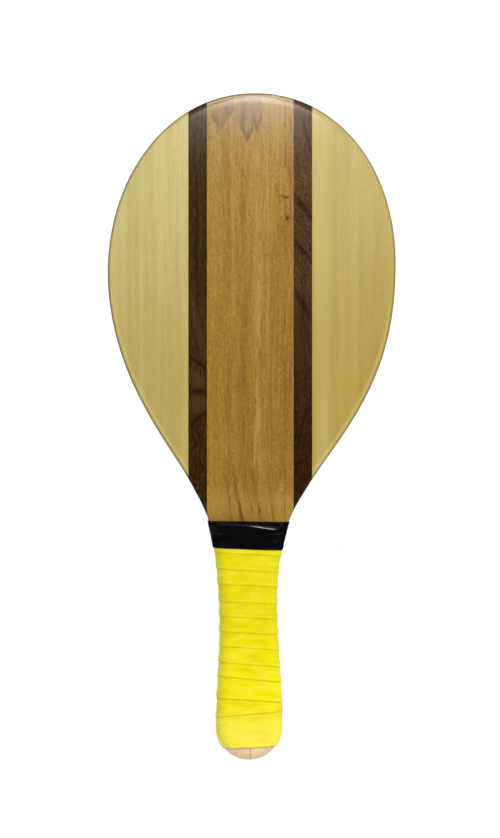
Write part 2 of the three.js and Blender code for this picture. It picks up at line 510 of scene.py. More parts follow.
class Wire:
    """A socket of a node tree, on which sums add Math nodes."""

    def __init__(self, sums: "Sums", socket: bpy.types.NodeSocket) -> None:
        """Takes hold of an output socket of a tree."""
        self.sums = sums
        self.socket = socket

    def _math(self, operation: str, first: Setting, second: Setting) -> "Wire":
        """Adds one Math node on two values."""
        return self.sums.node("ShaderNodeMath", {"operation": operation}, {0: first, 1: second})

    def __add__(self, other: Setting) -> "Wire":
        """This plus another."""
        return self._math("ADD", self, other)

    __radd__ = __add__

    def __sub__(self, other: Setting) -> "Wire":
        """This less another."""
        return self._math("SUBTRACT", self, other)

    def __rsub__(self, other: Setting) -> "Wire":
        """Another less this."""
        return self._math("SUBTRACT", other, self)

    def __mul__(self, other: Setting) -> "Wire":
        """This times another."""
        return self._math("MULTIPLY", self, other)

    __rmul__ = __mul__

    def __abs__(self) -> "Wire":
        """This without its sign."""
        return self._math("ABSOLUTE", self, 0.0)

    def __pow__(self, other: Setting) -> "Wire":
        """This to a power."""
        return self._math("POWER", self, other)


@dataclass(frozen=True)
class Cloud:
    """Soft noise: its clouds to each unit across, through and along a piece, and how far it is shifted."""

    across: float
    through: float
    along: float
    detail: float = 2.0
    roughness: float = 0.5
    shift: Pair = (0.0, 0.0)


@dataclass(frozen=True)
class Tone:
    """A shade that is laid on as a pattern goes from one value to another, and maybe only somewhere."""

    pattern: str
    start: float
    end: float
    share: float
    shade: str
    where: str = ""


@dataclass(frozen=True)
class Spot:
    """A knot, fleck or patch of one plank, which may lean across the grain."""

    at: Pair
    size: Pair
    strength: float
    lean: float = 0.0
    shade: str = ""


class Sums:
    """A node tree, worked out with sums on its sockets."""

    def __init__(self, tree: bpy.types.NodeTree) -> None:
        """Takes hold of a material's or a world's tree."""
        self.tree = tree

    def node(self, kind: str, settings: dict, values: dict, output: Union[int, str] = 0) -> Wire:
        """Adds a node.

        Args:
            kind: The node's type.
            settings: Its settings.
            values: Numbers, colours or wires for its sockets, by name or place.
            output: Which of its outputs is wanted.

        Returns:
            That output.
        """
        node = self.tree.nodes.new(kind)
        for name, value in settings.items():
            setattr(node, name, value)
        for name, value in values.items():
            self._feed(node.inputs[name], value)
        return Wire(self, node.outputs[output])

    def _feed(self, socket: bpy.types.NodeSocket, value: Setting) -> None:
        """Links a wire to a socket, or sets the socket to a plain value."""
        if isinstance(value, Wire):
            self.tree.links.new(value.socket, socket)
        else:
            socket.default_value = value

    def blend(self, share: Setting, first: Setting, second: Setting) -> Wire:
        """Mixes two colours, by the share of the second."""
        return self.node("ShaderNodeMix", {"data_type": "RGBA"}, {0: share, 6: first, 7: second}, 2)

    def split(self, vector: Wire) -> tuple[Wire, Wire, Wire]:
        """The three parts of a vector."""
        first = self.node("ShaderNodeSeparateXYZ", {}, {0: vector})
        outputs = first.socket.node.outputs
        return first, Wire(self, outputs[1]), Wire(self, outputs[2])

    def cloud(self, kind: Cloud, place: Sequence[Setting], seeds: Pair = (0.0, 0.0)) -> Wire:
        """Soft noise between 0 and 1.

        Args:
            kind: The cloud's measures.
            place: Where, across, through and along.
            seeds: How far it is moved across and along.

        Returns:
            The noise.
        """
        x, y, z = place
        across = x * kind.across + (kind.shift[0] + seeds[0])
        along = z * kind.along + (kind.shift[1] + seeds[1])
        vector = self.node("ShaderNodeCombineXYZ", {}, {0: across, 1: y * kind.through, 2: along})
        values = {"Vector": vector, "Scale": 1.0, "Detail": kind.detail, "Roughness": kind.roughness}
        return self.node("ShaderNodeTexNoise", {}, values, "Fac")

    def rise(self, value: Setting, start: float, end: float) -> Wire:
        """Runs smoothly from 0 at the start to 1 at the end, which may be the lower one.

        Args:
            value: What is looked at.
            start: Where the share is still 0.
            end: Where it is 1.

        Returns:
            The share.
        """
        low, high = min(start, end), max(start, end)
        to_low, to_high = (0.0, 1.0) if start < end else (1.0, 0.0)
        values = {"Value": value, "From Min": low, "From Max": high, "To Min": to_low, "To Max": to_high}
        return self.node("ShaderNodeMapRange", {"interpolation_type": "SMOOTHSTEP"}, values)

    def between(self, value: Wire, first: Pair, second: Pair) -> Wire:
        """Is 1 where a value is past the ends of two pairs, each of which runs from 0 to 1."""
        return self.rise(value, *first) * self.rise(value, *second)

    def pick(self, share: Wire, first: Setting, second: Setting) -> Wire:
        """Goes from one number to another as a share runs from 0 to 1."""
        return self.node("ShaderNodeMapRange", {}, {"Value": share, "To Min": first, "To Max": second})


class Shader(Sums):
    """A material of one surface shader."""

    def __init__(self, name: str) -> None:
        """Starts the material.

        Args:
            name: The material's name.
        """
        self.material = bpy.data.materials.new(name)
        self.material.use_nodes = True
        super().__init__(self.material.node_tree)
        self.surface = self.tree.nodes["Principled BSDF"]

    def place(self) -> Wire:
        """The place on the piece, in metres."""
        return self.node("ShaderNodeTexCoord", {}, {}, "Object")

    def millimetres(self, move: Sequence[float], lean: float = 0.0) -> tuple[Wire, Wire, Wire]:
        """The place on the piece in millimetres, turned by a lean and moved."""
        values = {"Location": move, "Rotation": (0, lean, 0), "Scale": (1 / MM,) * 3}
        return self.split(self.node("ShaderNodeMapping", {}, {"Vector": self.place(), **values}))

    def set(self, **values: Setting) -> None:
        """Sets or links the surface's own sockets, their names written with low lines."""
        for name, value in values.items():
            self._feed(self.surface.inputs[name.replace("_", " ")], value)

    def bump(self, height: Wire, depth: float) -> None:
        """Lets a height between 0 and 1 raise the surface by a depth in metres."""
        values = {"Height": height, "Distance": depth, "Strength": 1.0}
        self.set(Normal=self.node("ShaderNodeBump", {}, values))

    def lay_on(self, colour: Setting, patterns: dict[str, Wire], tones: Sequence[Tone]) -> Wire:
        """Lays shades on a colour, one over the other.

        Args:
            colour: The colour below.
            patterns: The patterns that the tones name.
            tones: The shades, the lowest first.

        Returns:
            The colour with its shades.
        """
        for tone in tones:
            share = self.rise(patterns[tone.pattern], tone.start, tone.end)
            if tone.where:
                share = share * patterns[tone.where]
            colour = self.blend(share * tone.share, colour, tint(tone.shade))
        return colour

    def dab(self, colour: Wire, x: Wire, z: Wire, near: Wire, spots: Sequence[Spot], shade: str) -> Wire:
        """Dabs soft round or long spots on a colour.

        Args:
            colour: The colour below.
            x: Millimetres across.
            z: Millimetres along.
            near: How close to the front face, 0 to 1.
            spots: The spots.
            shade: The shade of those that have none of their own.

        Returns:
            The colour with its spots.
        """
        for spot in spots:
            up = z - spot.at[1]
            across = (x + up * spot.lean - spot.at[0]) * (1 / spot.size[0])
            along = up * (1 / spot.size[1])
            mark = self.rise(across * across + along * along, 1.0, 0.0) * near
            colour = self.blend(mark * spot.strength, colour, tint(spot.shade or shade))
        return colour


# The light that a face turned to the camera gets, against the white ground
FACE_LIGHT = 1.25


def tint(code: str) -> tuple[float, float, float, float]:
    """The paint that looks like a screen colour on the lit front face.

    Args:
        code: The screen colour, as six hexadecimal digits.

    Returns:
        The linear colour.
    """
    parts = [int(code[i : i + 2], 16) / 255 for i in (0, 2, 4)]
    linear = [p / 12.92 if p <= 0.04045 else ((p + 0.055) / 1.055) ** 2.4 for p in parts]
    return tuple(p / FACE_LIGHT for p in linear) + (1.0,)


# The finishes


@dataclass(frozen=True)
class Wood:
    """What all the racket's woods share: grain that runs along the planks, and a clear varnish.

    The rim is a darker line painted along the rounded edge: painted shade for the dark surroundings that
    the edge mirrors, at the crown partly the end grain's own darker tone. The painted highlight is a pale
    painted line beside it, for the light that the rounded edge catches. Their pairs run from none to all
    of it, away from the middle of the thickness.
    """

    name: str
    base: float
    varnish_share: float = 1.0
    varnish_above: Pair = (60.0, 80.0)
    varnish_roughness: float = 0.05
    varnish_index: float = 1.45
    # Painted shade along the rounded edge, partly the end grain's own darker tone at the crown
    rim: str = "83784e"
    rim_shade_share: float = 0.8
    rim_from: Pair = (4.9, 4.2)
    rim_core: Pair = (1.4, 2.6)
    rim_core_share: float = 0.4
    rim_dulling: float = 0.85
    # Painted highlight: a pale line beside the rim, near the crown, for the light that the rounded edge
    # catches
    painted_highlight: str = "e6dac2"
    painted_highlight_share: float = 0.0
    painted_highlight_outside: Pair = (4.99, 4.94)
    painted_highlight_inside: Pair = (4.4, 4.75)
    painted_highlight_above: Pair = (440.0, 460.0)
    painted_highlight_dulling: float = 0.75
    grain_depth: float = 0.008 * MM

    def start(self) -> tuple[Shader, Wire, Wire, Wire]:
        """Starts the material.

        Returns:
            The shader, and millimetres across the planks, through them and above the butt.
        """
        shader = Shader(self.name)
        middle = self.base + CROSSING
        turned = Vector((math.sin(LEAN) * middle, 0, math.cos(LEAN) * middle)) / MM
        return (shader, *shader.millimetres((-turned.x, 0, CROSSING / MM - turned.z), LEAN))

    def varnish(self, shader: Shader, colour: Wire, y: Wire, z: Wire, grain: Wire) -> Material:
        """Lays the varnish on, with a painted shade line along the rounded edge and a painted highlight
        beside it.

        Args:
            shader: The wood's shader.
            colour: The bare wood's colour.
            y: Millimetres through the blade.
            z: Millimetres above the butt, which is bare wood.
            grain: Fine grain, 0 to 1, that the varnish doesn't quite fill.

        Returns:
            The finished material.
        """
        depth = abs(y)
        gloss = shader.rise(z, *self.varnish_above)
        core = shader.rise(depth, *self.rim_core) * self.rim_core_share + (1 - self.rim_core_share)
        # Painted shade: the rim colour darkens the rounded edge, partly the end grain's own darker tone at
        # the crown
        edge = shader.rise(depth, *self.rim_from) * core * gloss
        if self.painted_highlight_share > 0:
            # Painted highlight: a pale line just inside the rim, where the varnish is also dulled
            painted_highlight = shader.between(depth, self.painted_highlight_outside, self.painted_highlight_inside)
            painted_highlight = painted_highlight * shader.rise(z, *self.painted_highlight_above)
            edge = edge * (1 - painted_highlight)
            gloss = gloss - painted_highlight * self.painted_highlight_dulling
            colour = shader.blend(edge * self.rim_shade_share, colour, tint(self.rim))
            colour = shader.blend(painted_highlight * self.painted_highlight_share, colour, tint(self.painted_highlight))
        else:
            colour = shader.blend(edge * self.rim_shade_share, colour, tint(self.rim))
        shader.set(Base_Color=colour, Roughness=0.5, Specular_IOR_Level=0.05)
        coat = (gloss - edge * self.rim_dulling) * self.varnish_share
        shader.set(Coat_Weight=coat, Coat_Roughness=self.varnish_roughness, Coat_IOR=self.varnish_index)
        shader.bump(grain, self.grain_depth)
        return shader.material


@dataclass(frozen=True)
class Poplar(Wood):
    """Pale straw-yellow side board with soft broad bands, and a painted highlight along its lower edges.
    """

    upper: str = "d8cb89"
    lower: str = "bca963"
    band: str = "ae994d"
    band_share: float = 0.42
    fleck: str = "8c7a38"
    pale: str = "d9cd86"
    pale_middle: float = 0.0
    pale_reach: float = 0.0
    pale_above: Pair = (290.0, 390.0)
    pale_shares: Pair = (0.3, 0.25)
    pale_drift: float = 0.7
    # Painted highlight along the rounded edge, lower down, for the light that the edge catches there
    edge_highlight: str = "dccb7c"
    edge_highlight_share: float = 0.4
    edge_highlight_outside: Pair = (4.994, 4.976)
    edge_highlight_inside: Pair = (4.7, 4.9)
    edge_highlight_below: Pair = (390.0, 270.0)
    seed: float = 0.0
    drift: Cloud = Cloud(0.02, 0.02, 0.006)
    drift_reach: float = 14.0
    bands: Cloud = Cloud(0.11, 0.05, 0.003, 3.0, 0.6)
    lines: Cloud = Cloud(0.6, 0.2, 0.02, 3.0, 0.6)
    fibres: Cloud = Cloud(1.9, 1.9, 0.45, 3.0, 0.6)

    def paint(self) -> Material:
        """Makes the material."""
        shader, x, y, z = self.start()
        drift = shader.cloud(self.drift, (x, y, z), (self.seed, 0.0)) * self.drift_reach
        seeds = (0.0, self.seed)
        patterns = {
            "height": z,
            "bands": shader.cloud(self.bands, (x + drift, y, z), seeds),
            "lines": shader.cloud(self.lines, (x + drift, y, z), seeds),
            "fibres": shader.cloud(self.fibres, (x, y, z), seeds),
        }
        tones = (
            Tone("height", 470.0, 250.0, 1.0, self.lower),
            Tone("bands", 0.4, 0.66, self.band_share, self.band),
            Tone("bands", 0.5, 0.32, 0.2, self.pale),
            Tone("lines", 0.45, 0.8, 0.25, self.band),
            Tone("fibres", 0.48, 0.75, 0.24, self.fleck),
        )
        colour = shader.lay_on(tint(self.upper), patterns, tones)
        if self.pale_reach > 0:
            stray = (drift - self.drift_reach / 2) * self.pale_drift
            away = abs(x - self.pale_middle + stray)
            pale = shader.rise(away, self.pale_reach * 2.3, self.pale_reach * 0.2)
            share = shader.rise(z, *self.pale_above) * self.pale_shares[1] + self.pale_shares[0]
            colour = shader.blend(pale * share, colour, tint(self.pale))
        # Painted highlight along the lower edges
        edge_highlight = shader.between(abs(y), self.edge_highlight_outside, self.edge_highlight_inside)
        edge_highlight = edge_highlight * shader.rise(z, *self.edge_highlight_below)
        colour = shader.blend(edge_highlight * self.edge_highlight_share, colour, tint(self.edge_highlight))
        return self.varnish(shader, colour, y, z, patterns["fibres"])


@dataclass(frozen=True)
class Streak:
    """A dark or pale line that follows the grain of one plank, with soft ends."""

    middle: float
    half_width: float
    low: float
    high: float
    strength: float
    wander: float = 1.5
    wave: float = 0.02
    shade: str = "6f4815"
    lean: float = 0.0


@dataclass(frozen=True)
class Flame:
    """One tongue of the dark marks at the crown: it hangs down to a tip and widens above it."""

    middle: float
    reach: float
    tip: float
    steep: float


BEECH_LONG_GRAIN = {
    "broad": Cloud(0.09, 0.05, 0.004, 3.0, 0.55),
    "lines": Cloud(0.42, 0.1, 0.016, 4.0, 0.65, (0.0, 3.0)),
    "threads": Cloud(0.95, 0.3, 0.025, 3.0, 0.7, (4.0, 0.0)),
}
BEECH_SHORT_GRAIN = {
    "flecks": Cloud(1.25, 0.9, 0.4, 3.0, 0.65),
    "rays": Cloud(0.5, 0.4, 0.06, 2.0, 0.6, (9.0, 0.0)),
    "grain": Cloud(2.3, 1.5, 0.85, 2.0, 0.6, (40.0, 0.0)),
}
BEECH_TONES = (
    Tone("height", 460.0, 240.0, 1.0, "9c762a"),
    Tone("broad", 0.4, 0.68, 0.5, "b2812e"),
    Tone("rays", 0.42, 0.68, 0.28, "866225"),
    Tone("lines", 0.45, 0.72, 0.52, "865c1a"),
    Tone("threads", 0.44, 0.72, 0.42, "825e1b"),
    Tone("threads", 0.5, 0.28, 0.3, "c9a656"),
    Tone("flecks", 0.44, 0.7, 0.36, "7f5d1b", "short"),
    Tone("flecks", 0.5, 0.28, 0.3, "cca95b", "short"),
    Tone("grain", 0.46, 0.74, 0.5, "7b571c"),
    Tone("grain", 0.5, 0.26, 0.4, "c9a455"),
    Tone("height", 197.0, 180.0, 0.21, "d8aa58"),
)
# Flames, streaks and spots stand where the photograph has them, in millimetres across and above the butt
BEECH_FLAMES = (
    Flame(-21.5, 6.5, 443.5, 1.3),
    Flame(-15.0, 4.0, 451.0, 1.6),
    Flame(-6.2, 3.0, 443.0, 2.6),
    Flame(-2.2, 5.4, 433.5, 2.2),
    Flame(4.8, 4.0, 442.0, 2.2),
)
BEECH_STREAKS = (
    Streak(-5.0, 4.0, 190.0, 430.0, 0.32, 5.0, shade="86601c"),
    Streak(-18.0, 5.0, 230.0, 470.0, 0.2, 6.0, shade="86601c"),
    Streak(5.5, 3.4, 190.0, 440.0, 0.5, 3.0, shade="cba458"),
    Streak(12.5, 1.6, 260.0, 440.0, 0.4, 3.0, shade="cba458"),
    Streak(-12.0, 2.2, 300.0, 450.0, 0.3, 5.0, shade="cba458"),
    Streak(24.6, 0.8, 300.0, 470.0, 0.7, 0.8),
    Streak(24.4, 0.7, 160.0, 330.0, 0.6, 0.8),
    Streak(28.4, 0.9, 210.0, 470.0, 0.45, 1.0),
    Streak(27.0, 2.0, 330.0, 450.0, 0.25, 1.0),
    Streak(8.0, 0.5, 222.0, 330.0, 0.75, 0.6),
    Streak(6.2, 0.6, 235.0, 300.0, 0.4, 1.2),
    Streak(-1.6, 0.9, 205.0, 262.0, 0.6, 1.5),
    Streak(1.8, 0.6, 200.0, 240.0, 0.45, 2.0),
    Streak(-5.0, 1.1, 200.0, 300.0, 0.3, 2.0),
    Streak(-15.0, 0.7, 180.0, 300.0, 0.3, 3.0),
    Streak(14.5, 0.6, 200.0, 330.0, 0.3, 1.0),
    Streak(-10.5, 1.3, 155.0, 208.0, 0.75, 5.0, 0.045, "70420c", 0.16),
    Streak(-4.0, 2.1, 155.0, 214.0, 0.6, 5.0, 0.045, "65390a", 0.16),
    Streak(-1.5, 1.3, 150.0, 192.0, 0.8, 5.0, 0.045, "70420c", 0.2),
    Streak(3.0, 0.9, 155.0, 196.0, 0.8, 4.0, 0.045, "7d4d10", 0.12),
    Streak(10.0, 1.5, 155.0, 212.0, 0.8, 5.0, 0.045, "70420c", 0.16),
    Streak(17.5, 1.2, 155.0, 202.0, 0.7, 4.0, 0.04, "7a4a10", 0.1),
)
BEECH_SPOTS = (
    Spot((25.5, 396.5), (3.4, 1.7), 0.7),
    Spot((21.5, 397.5), (2.0, 1.2), 0.6),
    Spot((26.0, 381.6), (1.5, 2.1), 1.0),
    Spot((26.4, 382.6), (2.6, 4.5), 0.35),
    Spot((23.0, 374.0), (0.9, 3.4), 0.35, -0.2),
    Spot((3.4, 253.0), (0.7, 3.6), 0.7),
    Spot((4.9, 251.8), (0.5, 2.6), 0.6),
    Spot((6.6, 286.0), (0.7, 5.0), 0.5),
    Spot((4.0, 272.0), (0.6, 4.0), 0.4),
    Spot((3.6, 190.0), (3.0, 14.0), 0.45, shade="99611a"),
    Spot((-5.0, 264.0), (6.0, 18.0), 0.16),
)


@dataclass(frozen=True)
class Beech(Wood):
    """Golden tan plank with short flecks, flame-shaped marks at the crown and a few knots."""

    # The pale painted highlight along the rounded edge at the crown
    painted_highlight_share: float = 0.52
    ground: str = "ba9749"
    bare: Tone = Tone("height", 60.0, 40.0, 1.0, "e2bd8e")
    sway: Cloud = Cloud(0.03, 0.03, 0.012)
    sway_reach: float = 16.0
    neck_wave: Cloud = Cloud(0.07, 0.05, 0.03, shift=(0.0, 7.0))
    neck_wave_reach: float = 30.0
    neck_below: Pair = (220.0, 175.0)
    slant: float = 0.09
    flecked_above: Pair = (230.0, 420.0)
    near_face: Pair = (4.0, -1.0)
    jag: Cloud = Cloud(0.42, 0.2, 0.012, 3.0, 0.6)
    jag_reach: float = 12.0
    haze: Tone = Tone("height", 438.0, 464.0, 0.3, "86694a", "haze")
    haze_left_of: Pair = (14.0, 2.0)
    flame: str = "74501a"
    flame_tip: Pair = (-1.0, 3.0)
    flame_body: Pair = (11.0, 1.0)
    knot: str = "67400f"
    streak_breaks: Cloud = Cloud(0.7, 0.3, 0.06, 3.0, 0.65)
    streak_end: float = 18.0
    streak_end_share: float = 0.35

    def paint(self) -> Material:
        """Makes the material."""
        shader, x, y, z = self.start()
        sway = (shader.cloud(self.sway, (x, y, z)) - 0.5) * self.sway_reach
        wave = shader.cloud(self.neck_wave, (x, y, z)) - 0.5
        across = x + sway + shader.rise(z, *self.neck_below) * wave * self.neck_wave_reach
        slant = x + z * self.slant + sway * 0.5
        patterns = {"height": z, "short": shader.rise(z, *self.flecked_above) * 0.45 + 0.55}
        for name, cloud in BEECH_LONG_GRAIN.items():
            patterns[name] = shader.cloud(cloud, (across, y, z))
        for name, cloud in BEECH_SHORT_GRAIN.items():
            patterns[name] = shader.cloud(cloud, (slant, y, z))
        colour = shader.lay_on(tint(self.ground), patterns, BEECH_TONES)
        colour = self._figure(shader, colour, x, y, z)
        colour = shader.lay_on(colour, patterns, [self.bare])
        return self.varnish(shader, colour, y, z, patterns["flecks"])

    def _figure(self, shader: Shader, colour: Wire, x: Wire, y: Wire, z: Wire) -> Wire:
        """Adds the marks that grow in this one plank: flames, streaks, knots and flecks.

        Args:
            shader: The plank's shader.
            colour: The plain wood.
            x: Millimetres across from the plank's middle.
            y: Millimetres through it.
            z: Millimetres above the butt.

        Returns:
            The colour with its marks.
        """
        near = shader.rise(y, *self.near_face)
        jag = shader.cloud(self.jag, (x, y, z))
        haze = shader.rise(x, *self.haze_left_of) * near
        colour = shader.lay_on(colour, {"height": z, "haze": haze}, [self.haze])
        flames = x * 0.0
        for tongue in BEECH_FLAMES:
            away = abs(x - tongue.middle)
            above = z - (away * tongue.steep + (jag - 0.5) * self.jag_reach + tongue.tip)
            flame = shader.rise(above, *self.flame_tip)
            flame = flame * shader.rise(away, tongue.reach, tongue.reach * 0.6)
            flame = flame * (shader.rise(above, *self.flame_body) * 0.5 + 0.3)
            flames = flames + flame * (1 - flames)
        flames = flames * (shader.rise(jag, 0.32, 0.62) * 0.5 + 0.7)
        colour = shader.blend(flames * near, colour, tint(self.flame))
        for streak in BEECH_STREAKS:
            colour = self._stripe(shader, colour, x, z, streak, near)
        return shader.dab(colour, x, z, near, BEECH_SPOTS, self.knot)

    def _stripe(self, shader: Shader, colour: Wire, x: Wire, z: Wire, streak: Streak, near: Wire) -> Wire:
        """Draws one streak.

        Args:
            shader: The plank's shader.
            colour: The colour so far.
            x: Millimetres across from the plank's middle.
            z: Millimetres above the butt.
            streak: The streak.
            near: How close to the front face, 0 to 1.

        Returns:
            The colour with the streak.
        """
        bend = shader.cloud(Cloud(0.06, 0.0, streak.wave), (streak.middle, 0.0, z)) - 0.5
        tilt = (z - streak.low) * streak.lean
        away = abs(x + bend * streak.wander + tilt - streak.middle)
        breaks = shader.cloud(self.streak_breaks, (streak.middle, x, z))
        line = shader.rise(away, streak.half_width * 1.3, 0.0)
        line = line * (shader.rise(breaks, 0.36, 0.62) * 0.85 + 0.15)
        end = min(self.streak_end, (streak.high - streak.low) * self.streak_end_share)
        line = line * shader.rise(z, streak.low, streak.low + end)
        line = line * shader.rise(z, streak.high, streak.high - end)
        return shader.blend(line * near * streak.strength, colour, tint(streak.shade))


LEFT_WALNUT_SPOTS = (
    Spot((-39.7, 447.0), (0.8, 2.4), 0.6),
    Spot((-39.7, 439.0), (0.9, 2.2), 0.7),
    Spot((-39.5, 431.0), (0.7, 2.6), 0.6),
    Spot((-39.6, 424.0), (0.8, 2.4), 0.5),
    Spot((-37.6, 360.0), (1.6, 70.0), 0.5),
    Spot((-32.8, 340.0), (1.0, 80.0), 0.3),
    Spot((-36.5, 303.0), (3.4, 30.0), 0.2, 0.22, "5d4c35"),
    Spot((-38.5, 268.0), (9.0, 9.0), 0.35, 0.5, "57432a"),
    Spot((-37.5, 250.0), (9.0, 9.0), 0.4, 0.0, "57432a"),
    Spot((-37.0, 280.0), (3.2, 8.5), 0.7, 1.2),
    Spot((-36.0, 259.5), (8.0, 3.0), 0.66, -0.3),
    Spot((-37.0, 240.5), (3.2, 8.0), 0.62, -1.1),
)
RIGHT_WALNUT_SPOTS = (
    Spot((40.0, 440.0), (1.7, 20.0), 0.55, 0.25),
    Spot((37.0, 390.0), (3.8, 14.0), 0.6, 0.66),
    Spot((37.0, 359.0), (3.8, 11.0), 0.5, 0.8),
    Spot((37.0, 321.0), (3.4, 17.0), 0.6, 0.52),
    Spot((40.0, 300.0), (2.0, 22.0), 0.35, 0.2),
)


@dataclass(frozen=True)
class Walnut(Wood):
    """Dark brown strip, greyer towards the crown, whose open pores take some of the varnish in."""

    varnish_share: float = 0.72
    # Painted shade along the rounded edge, near black on walnut
    rim: str = "1b120a"
    rim_shade_share: float = 0.9
    crown: str = "57442b"
    body: str = "3f2c10"
    foot: str = "331e06"
    fibre: str = "62481f"
    dark: str = "1f1207"
    knot: str = "1d1108"
    crown_fade: Pair = (470.0, 405.0)
    darker_below: Pair = (330.0, 190.0)
    seed: float = 0.0
    slant: float = 0.12
    slant_above: float = 600.0
    slant_fade: float = 60.0
    mottled: Pair = (0.0, 0.0)
    mottled_fades: Pair = (40.0, 15.0)
    near_face: Pair = (4.5, 0.0)
    sway: Cloud = Cloud(0.02, 0.03, 0.016)
    sway_reach: float = 14.0
    spot_sway: float = 0.12
    lines: Cloud = Cloud(0.45, 0.2, 0.016, 4.0, 0.65)
    fibres: Cloud = Cloud(1.9, 1.5, 0.32, 3.0, 0.65)
    pores: Cloud = Cloud(1.9, 1.5, 0.7, 2.0, 0.6, (5.0, 0.0))
    spots: tuple[Spot, ...] = ()

    def paint(self) -> Material:
        """Makes the material."""
        shader, x, y, z = self.start()
        sway = (shader.cloud(self.sway, (x, y, z), (self.seed, 0.0)) - 0.5) * self.sway_reach
        slant = shader.rise(z, self.slant_above - self.slant_fade, self.slant_above) * z * self.slant
        place = (x + sway + slant, y, z)
        patterns = {
            "height": z,
            "lines": shader.cloud(self.lines, place, (self.seed, 0.0)),
            "fibres": shader.cloud(self.fibres, place, (0.0, self.seed)),
        }
        tones = (
            Tone("height", *self.crown_fade, 1.0, self.body),
            Tone("height", *self.darker_below, 1.0, self.foot),
            Tone("lines", 0.42, 0.7, 0.65, self.dark),
            Tone("fibres", 0.5, 0.7, 0.62, self.fibre),
            Tone("fibres", 0.5, 0.3, 0.55, self.dark),
        )
        colour = shader.lay_on(tint(self.crown), patterns, tones)
        if self.mottled[1] > self.mottled[0]:
            low, high = self.mottled
            ends = (low - self.mottled_fades[0], low), (high + self.mottled_fades[1], high)
            patterns["pores"] = shader.cloud(self.pores, place, (0.0, self.seed))
            patterns["zone"] = shader.between(z, *ends)
            tones = (
                Tone("pores", 0.48, 0.68, 0.5, "86674a", "zone"),
                Tone("pores", 0.5, 0.34, 0.4, "2b1a0c", "zone"),
            )
            colour = shader.lay_on(colour, patterns, tones)
        near = shader.rise(y, *self.near_face)
        colour = shader.dab(colour, x + sway * self.spot_sway, z, near, self.spots, self.knot)
        return self.varnish(shader, colour, y, z, patterns["fibres"])


@dataclass(frozen=True)
class CheekWood(Wood):
    """Bare pale wood of the handle's cheeks, sanded but not varnished."""

    seed: float = 0.0
    ground: str = "fadeb0"
    grain_depth: float = 0.05 * MM
    lines: Cloud = Cloud(1.1, 0.5, 0.03, 3.0, 0.6)
    fibres: Cloud = Cloud(4.0, 3.0, 0.25)
    tones: tuple[Tone, ...] = (
        Tone("lines", 0.35, 0.7, 0.8, "dfb988"),
        Tone("fibres", 0.5, 0.8, 0.4, "b58a5e"),
        Tone("joint", 0.7, 0.1, 0.45, "8f6c4c"),
    )

    def paint(self) -> Material:
        """Makes the material."""
        shader, x, y, z = self.start()
        patterns = {
            "lines": shader.cloud(self.lines, (x, y, z), (self.seed, 0.0)),
            "fibres": shader.cloud(self.fibres, (x, y, z), (0.0, self.seed)),
            "joint": abs(x),
        }
        colour = shader.lay_on(tint(self.ground), patterns, self.tones)
        shader.set(Base_Color=colour, Roughness=0.62)
        shader.bump(patterns["fibres"], self.grain_depth)
        return shader.material


@dataclass(frozen=True)
class Overgrip:
    """Bright yellow soft tape, a little mottled, with a painted olive shade line and pale highlight at
    each lower edge.
    """

    name: str
    base: float
    ground: str = "e9dc00"
    patches: Cloud = Cloud(0.06, 0.06, 0.17, 3.0, 0.6)
    bands: Cloud = Cloud(0.05, 0.05, 0.5, 2.0, 0.6)
    grit: Cloud = Cloud(3.0, 3.0, 3.0)
    # Painted shade line along each turn's lower edge: where it breaks up, where it grows stronger towards
    # the butt, and where the pale painted highlight above it ends
    shade_line_breaks: Cloud = Cloud(0.09, 0.09, 0.11, shift=(0.0, 5.0))
    darker_below: Pair = (95.0, 45.0)
    lip_highlight_end: Pair = (3.0, 1.7)
    depth: float = 0.09 * MM
    tones: tuple[Tone, ...] = (
        # Painted light: the tape is painted brighter towards the butt, where more light falls on it
        Tone("height", 120.0, 45.0, 1.0, "f6e600"),
        Tone("patches", 0.46, 0.68, 0.55, "e0cc00"),
        Tone("patches", 0.5, 0.32, 0.36, "f8ee50"),
        # Painted light: paler still on the lowest turn
        Tone("height", 42.0, 16.0, 0.45, "fff268"),
        Tone("bands", 0.5, 0.8, 0.2, "f6ea40"),
        # Painted shade: an olive line along each turn's lower edge, for the shade under its step; painted
        # highlight: a pale line just above it
        Tone("edge", 1.0, 0.0, 1.0, "a89a10", "line"),
        Tone("edge", 0.8, 1.5, 0.25, "f8ee46", "lip"),
    )

    def paint(self) -> Material:
        """Makes the material."""
        shader = Shader(self.name)
        place = shader.millimetres((0, 0, -self.base / MM))
        z = place[2]
        edge = shader.node("ShaderNodeAttribute", {"attribute_name": "edge_mm"}, {}, "Fac")
        breaks = shader.rise(shader.cloud(self.shade_line_breaks, place), 0.36, 0.6)
        bands = shader.cloud(self.bands, place)
        grit = shader.cloud(self.grit, place)
        patterns = {
            "height": z,
            "patches": shader.cloud(self.patches, place),
            "bands": bands,
            "edge": edge,
            # The painted shade line's strength, and the reach of the painted highlight above it
            "line": (shader.rise(z, *self.darker_below) * 0.34 + 0.3) * (breaks * 0.75 + 0.4),
            "lip": shader.rise(edge, *self.lip_highlight_end),
        }
        colour = shader.lay_on(tint(self.ground), patterns, self.tones)
        shader.set(Base_Color=colour, Roughness=0.7, Specular_IOR_Level=0.12)
        shader.set(Sheen_Weight=0.4, Sheen_Roughness=0.35)
        shader.bump(grit * 0.35 + bands * 0.65, self.depth)
        return shader.material


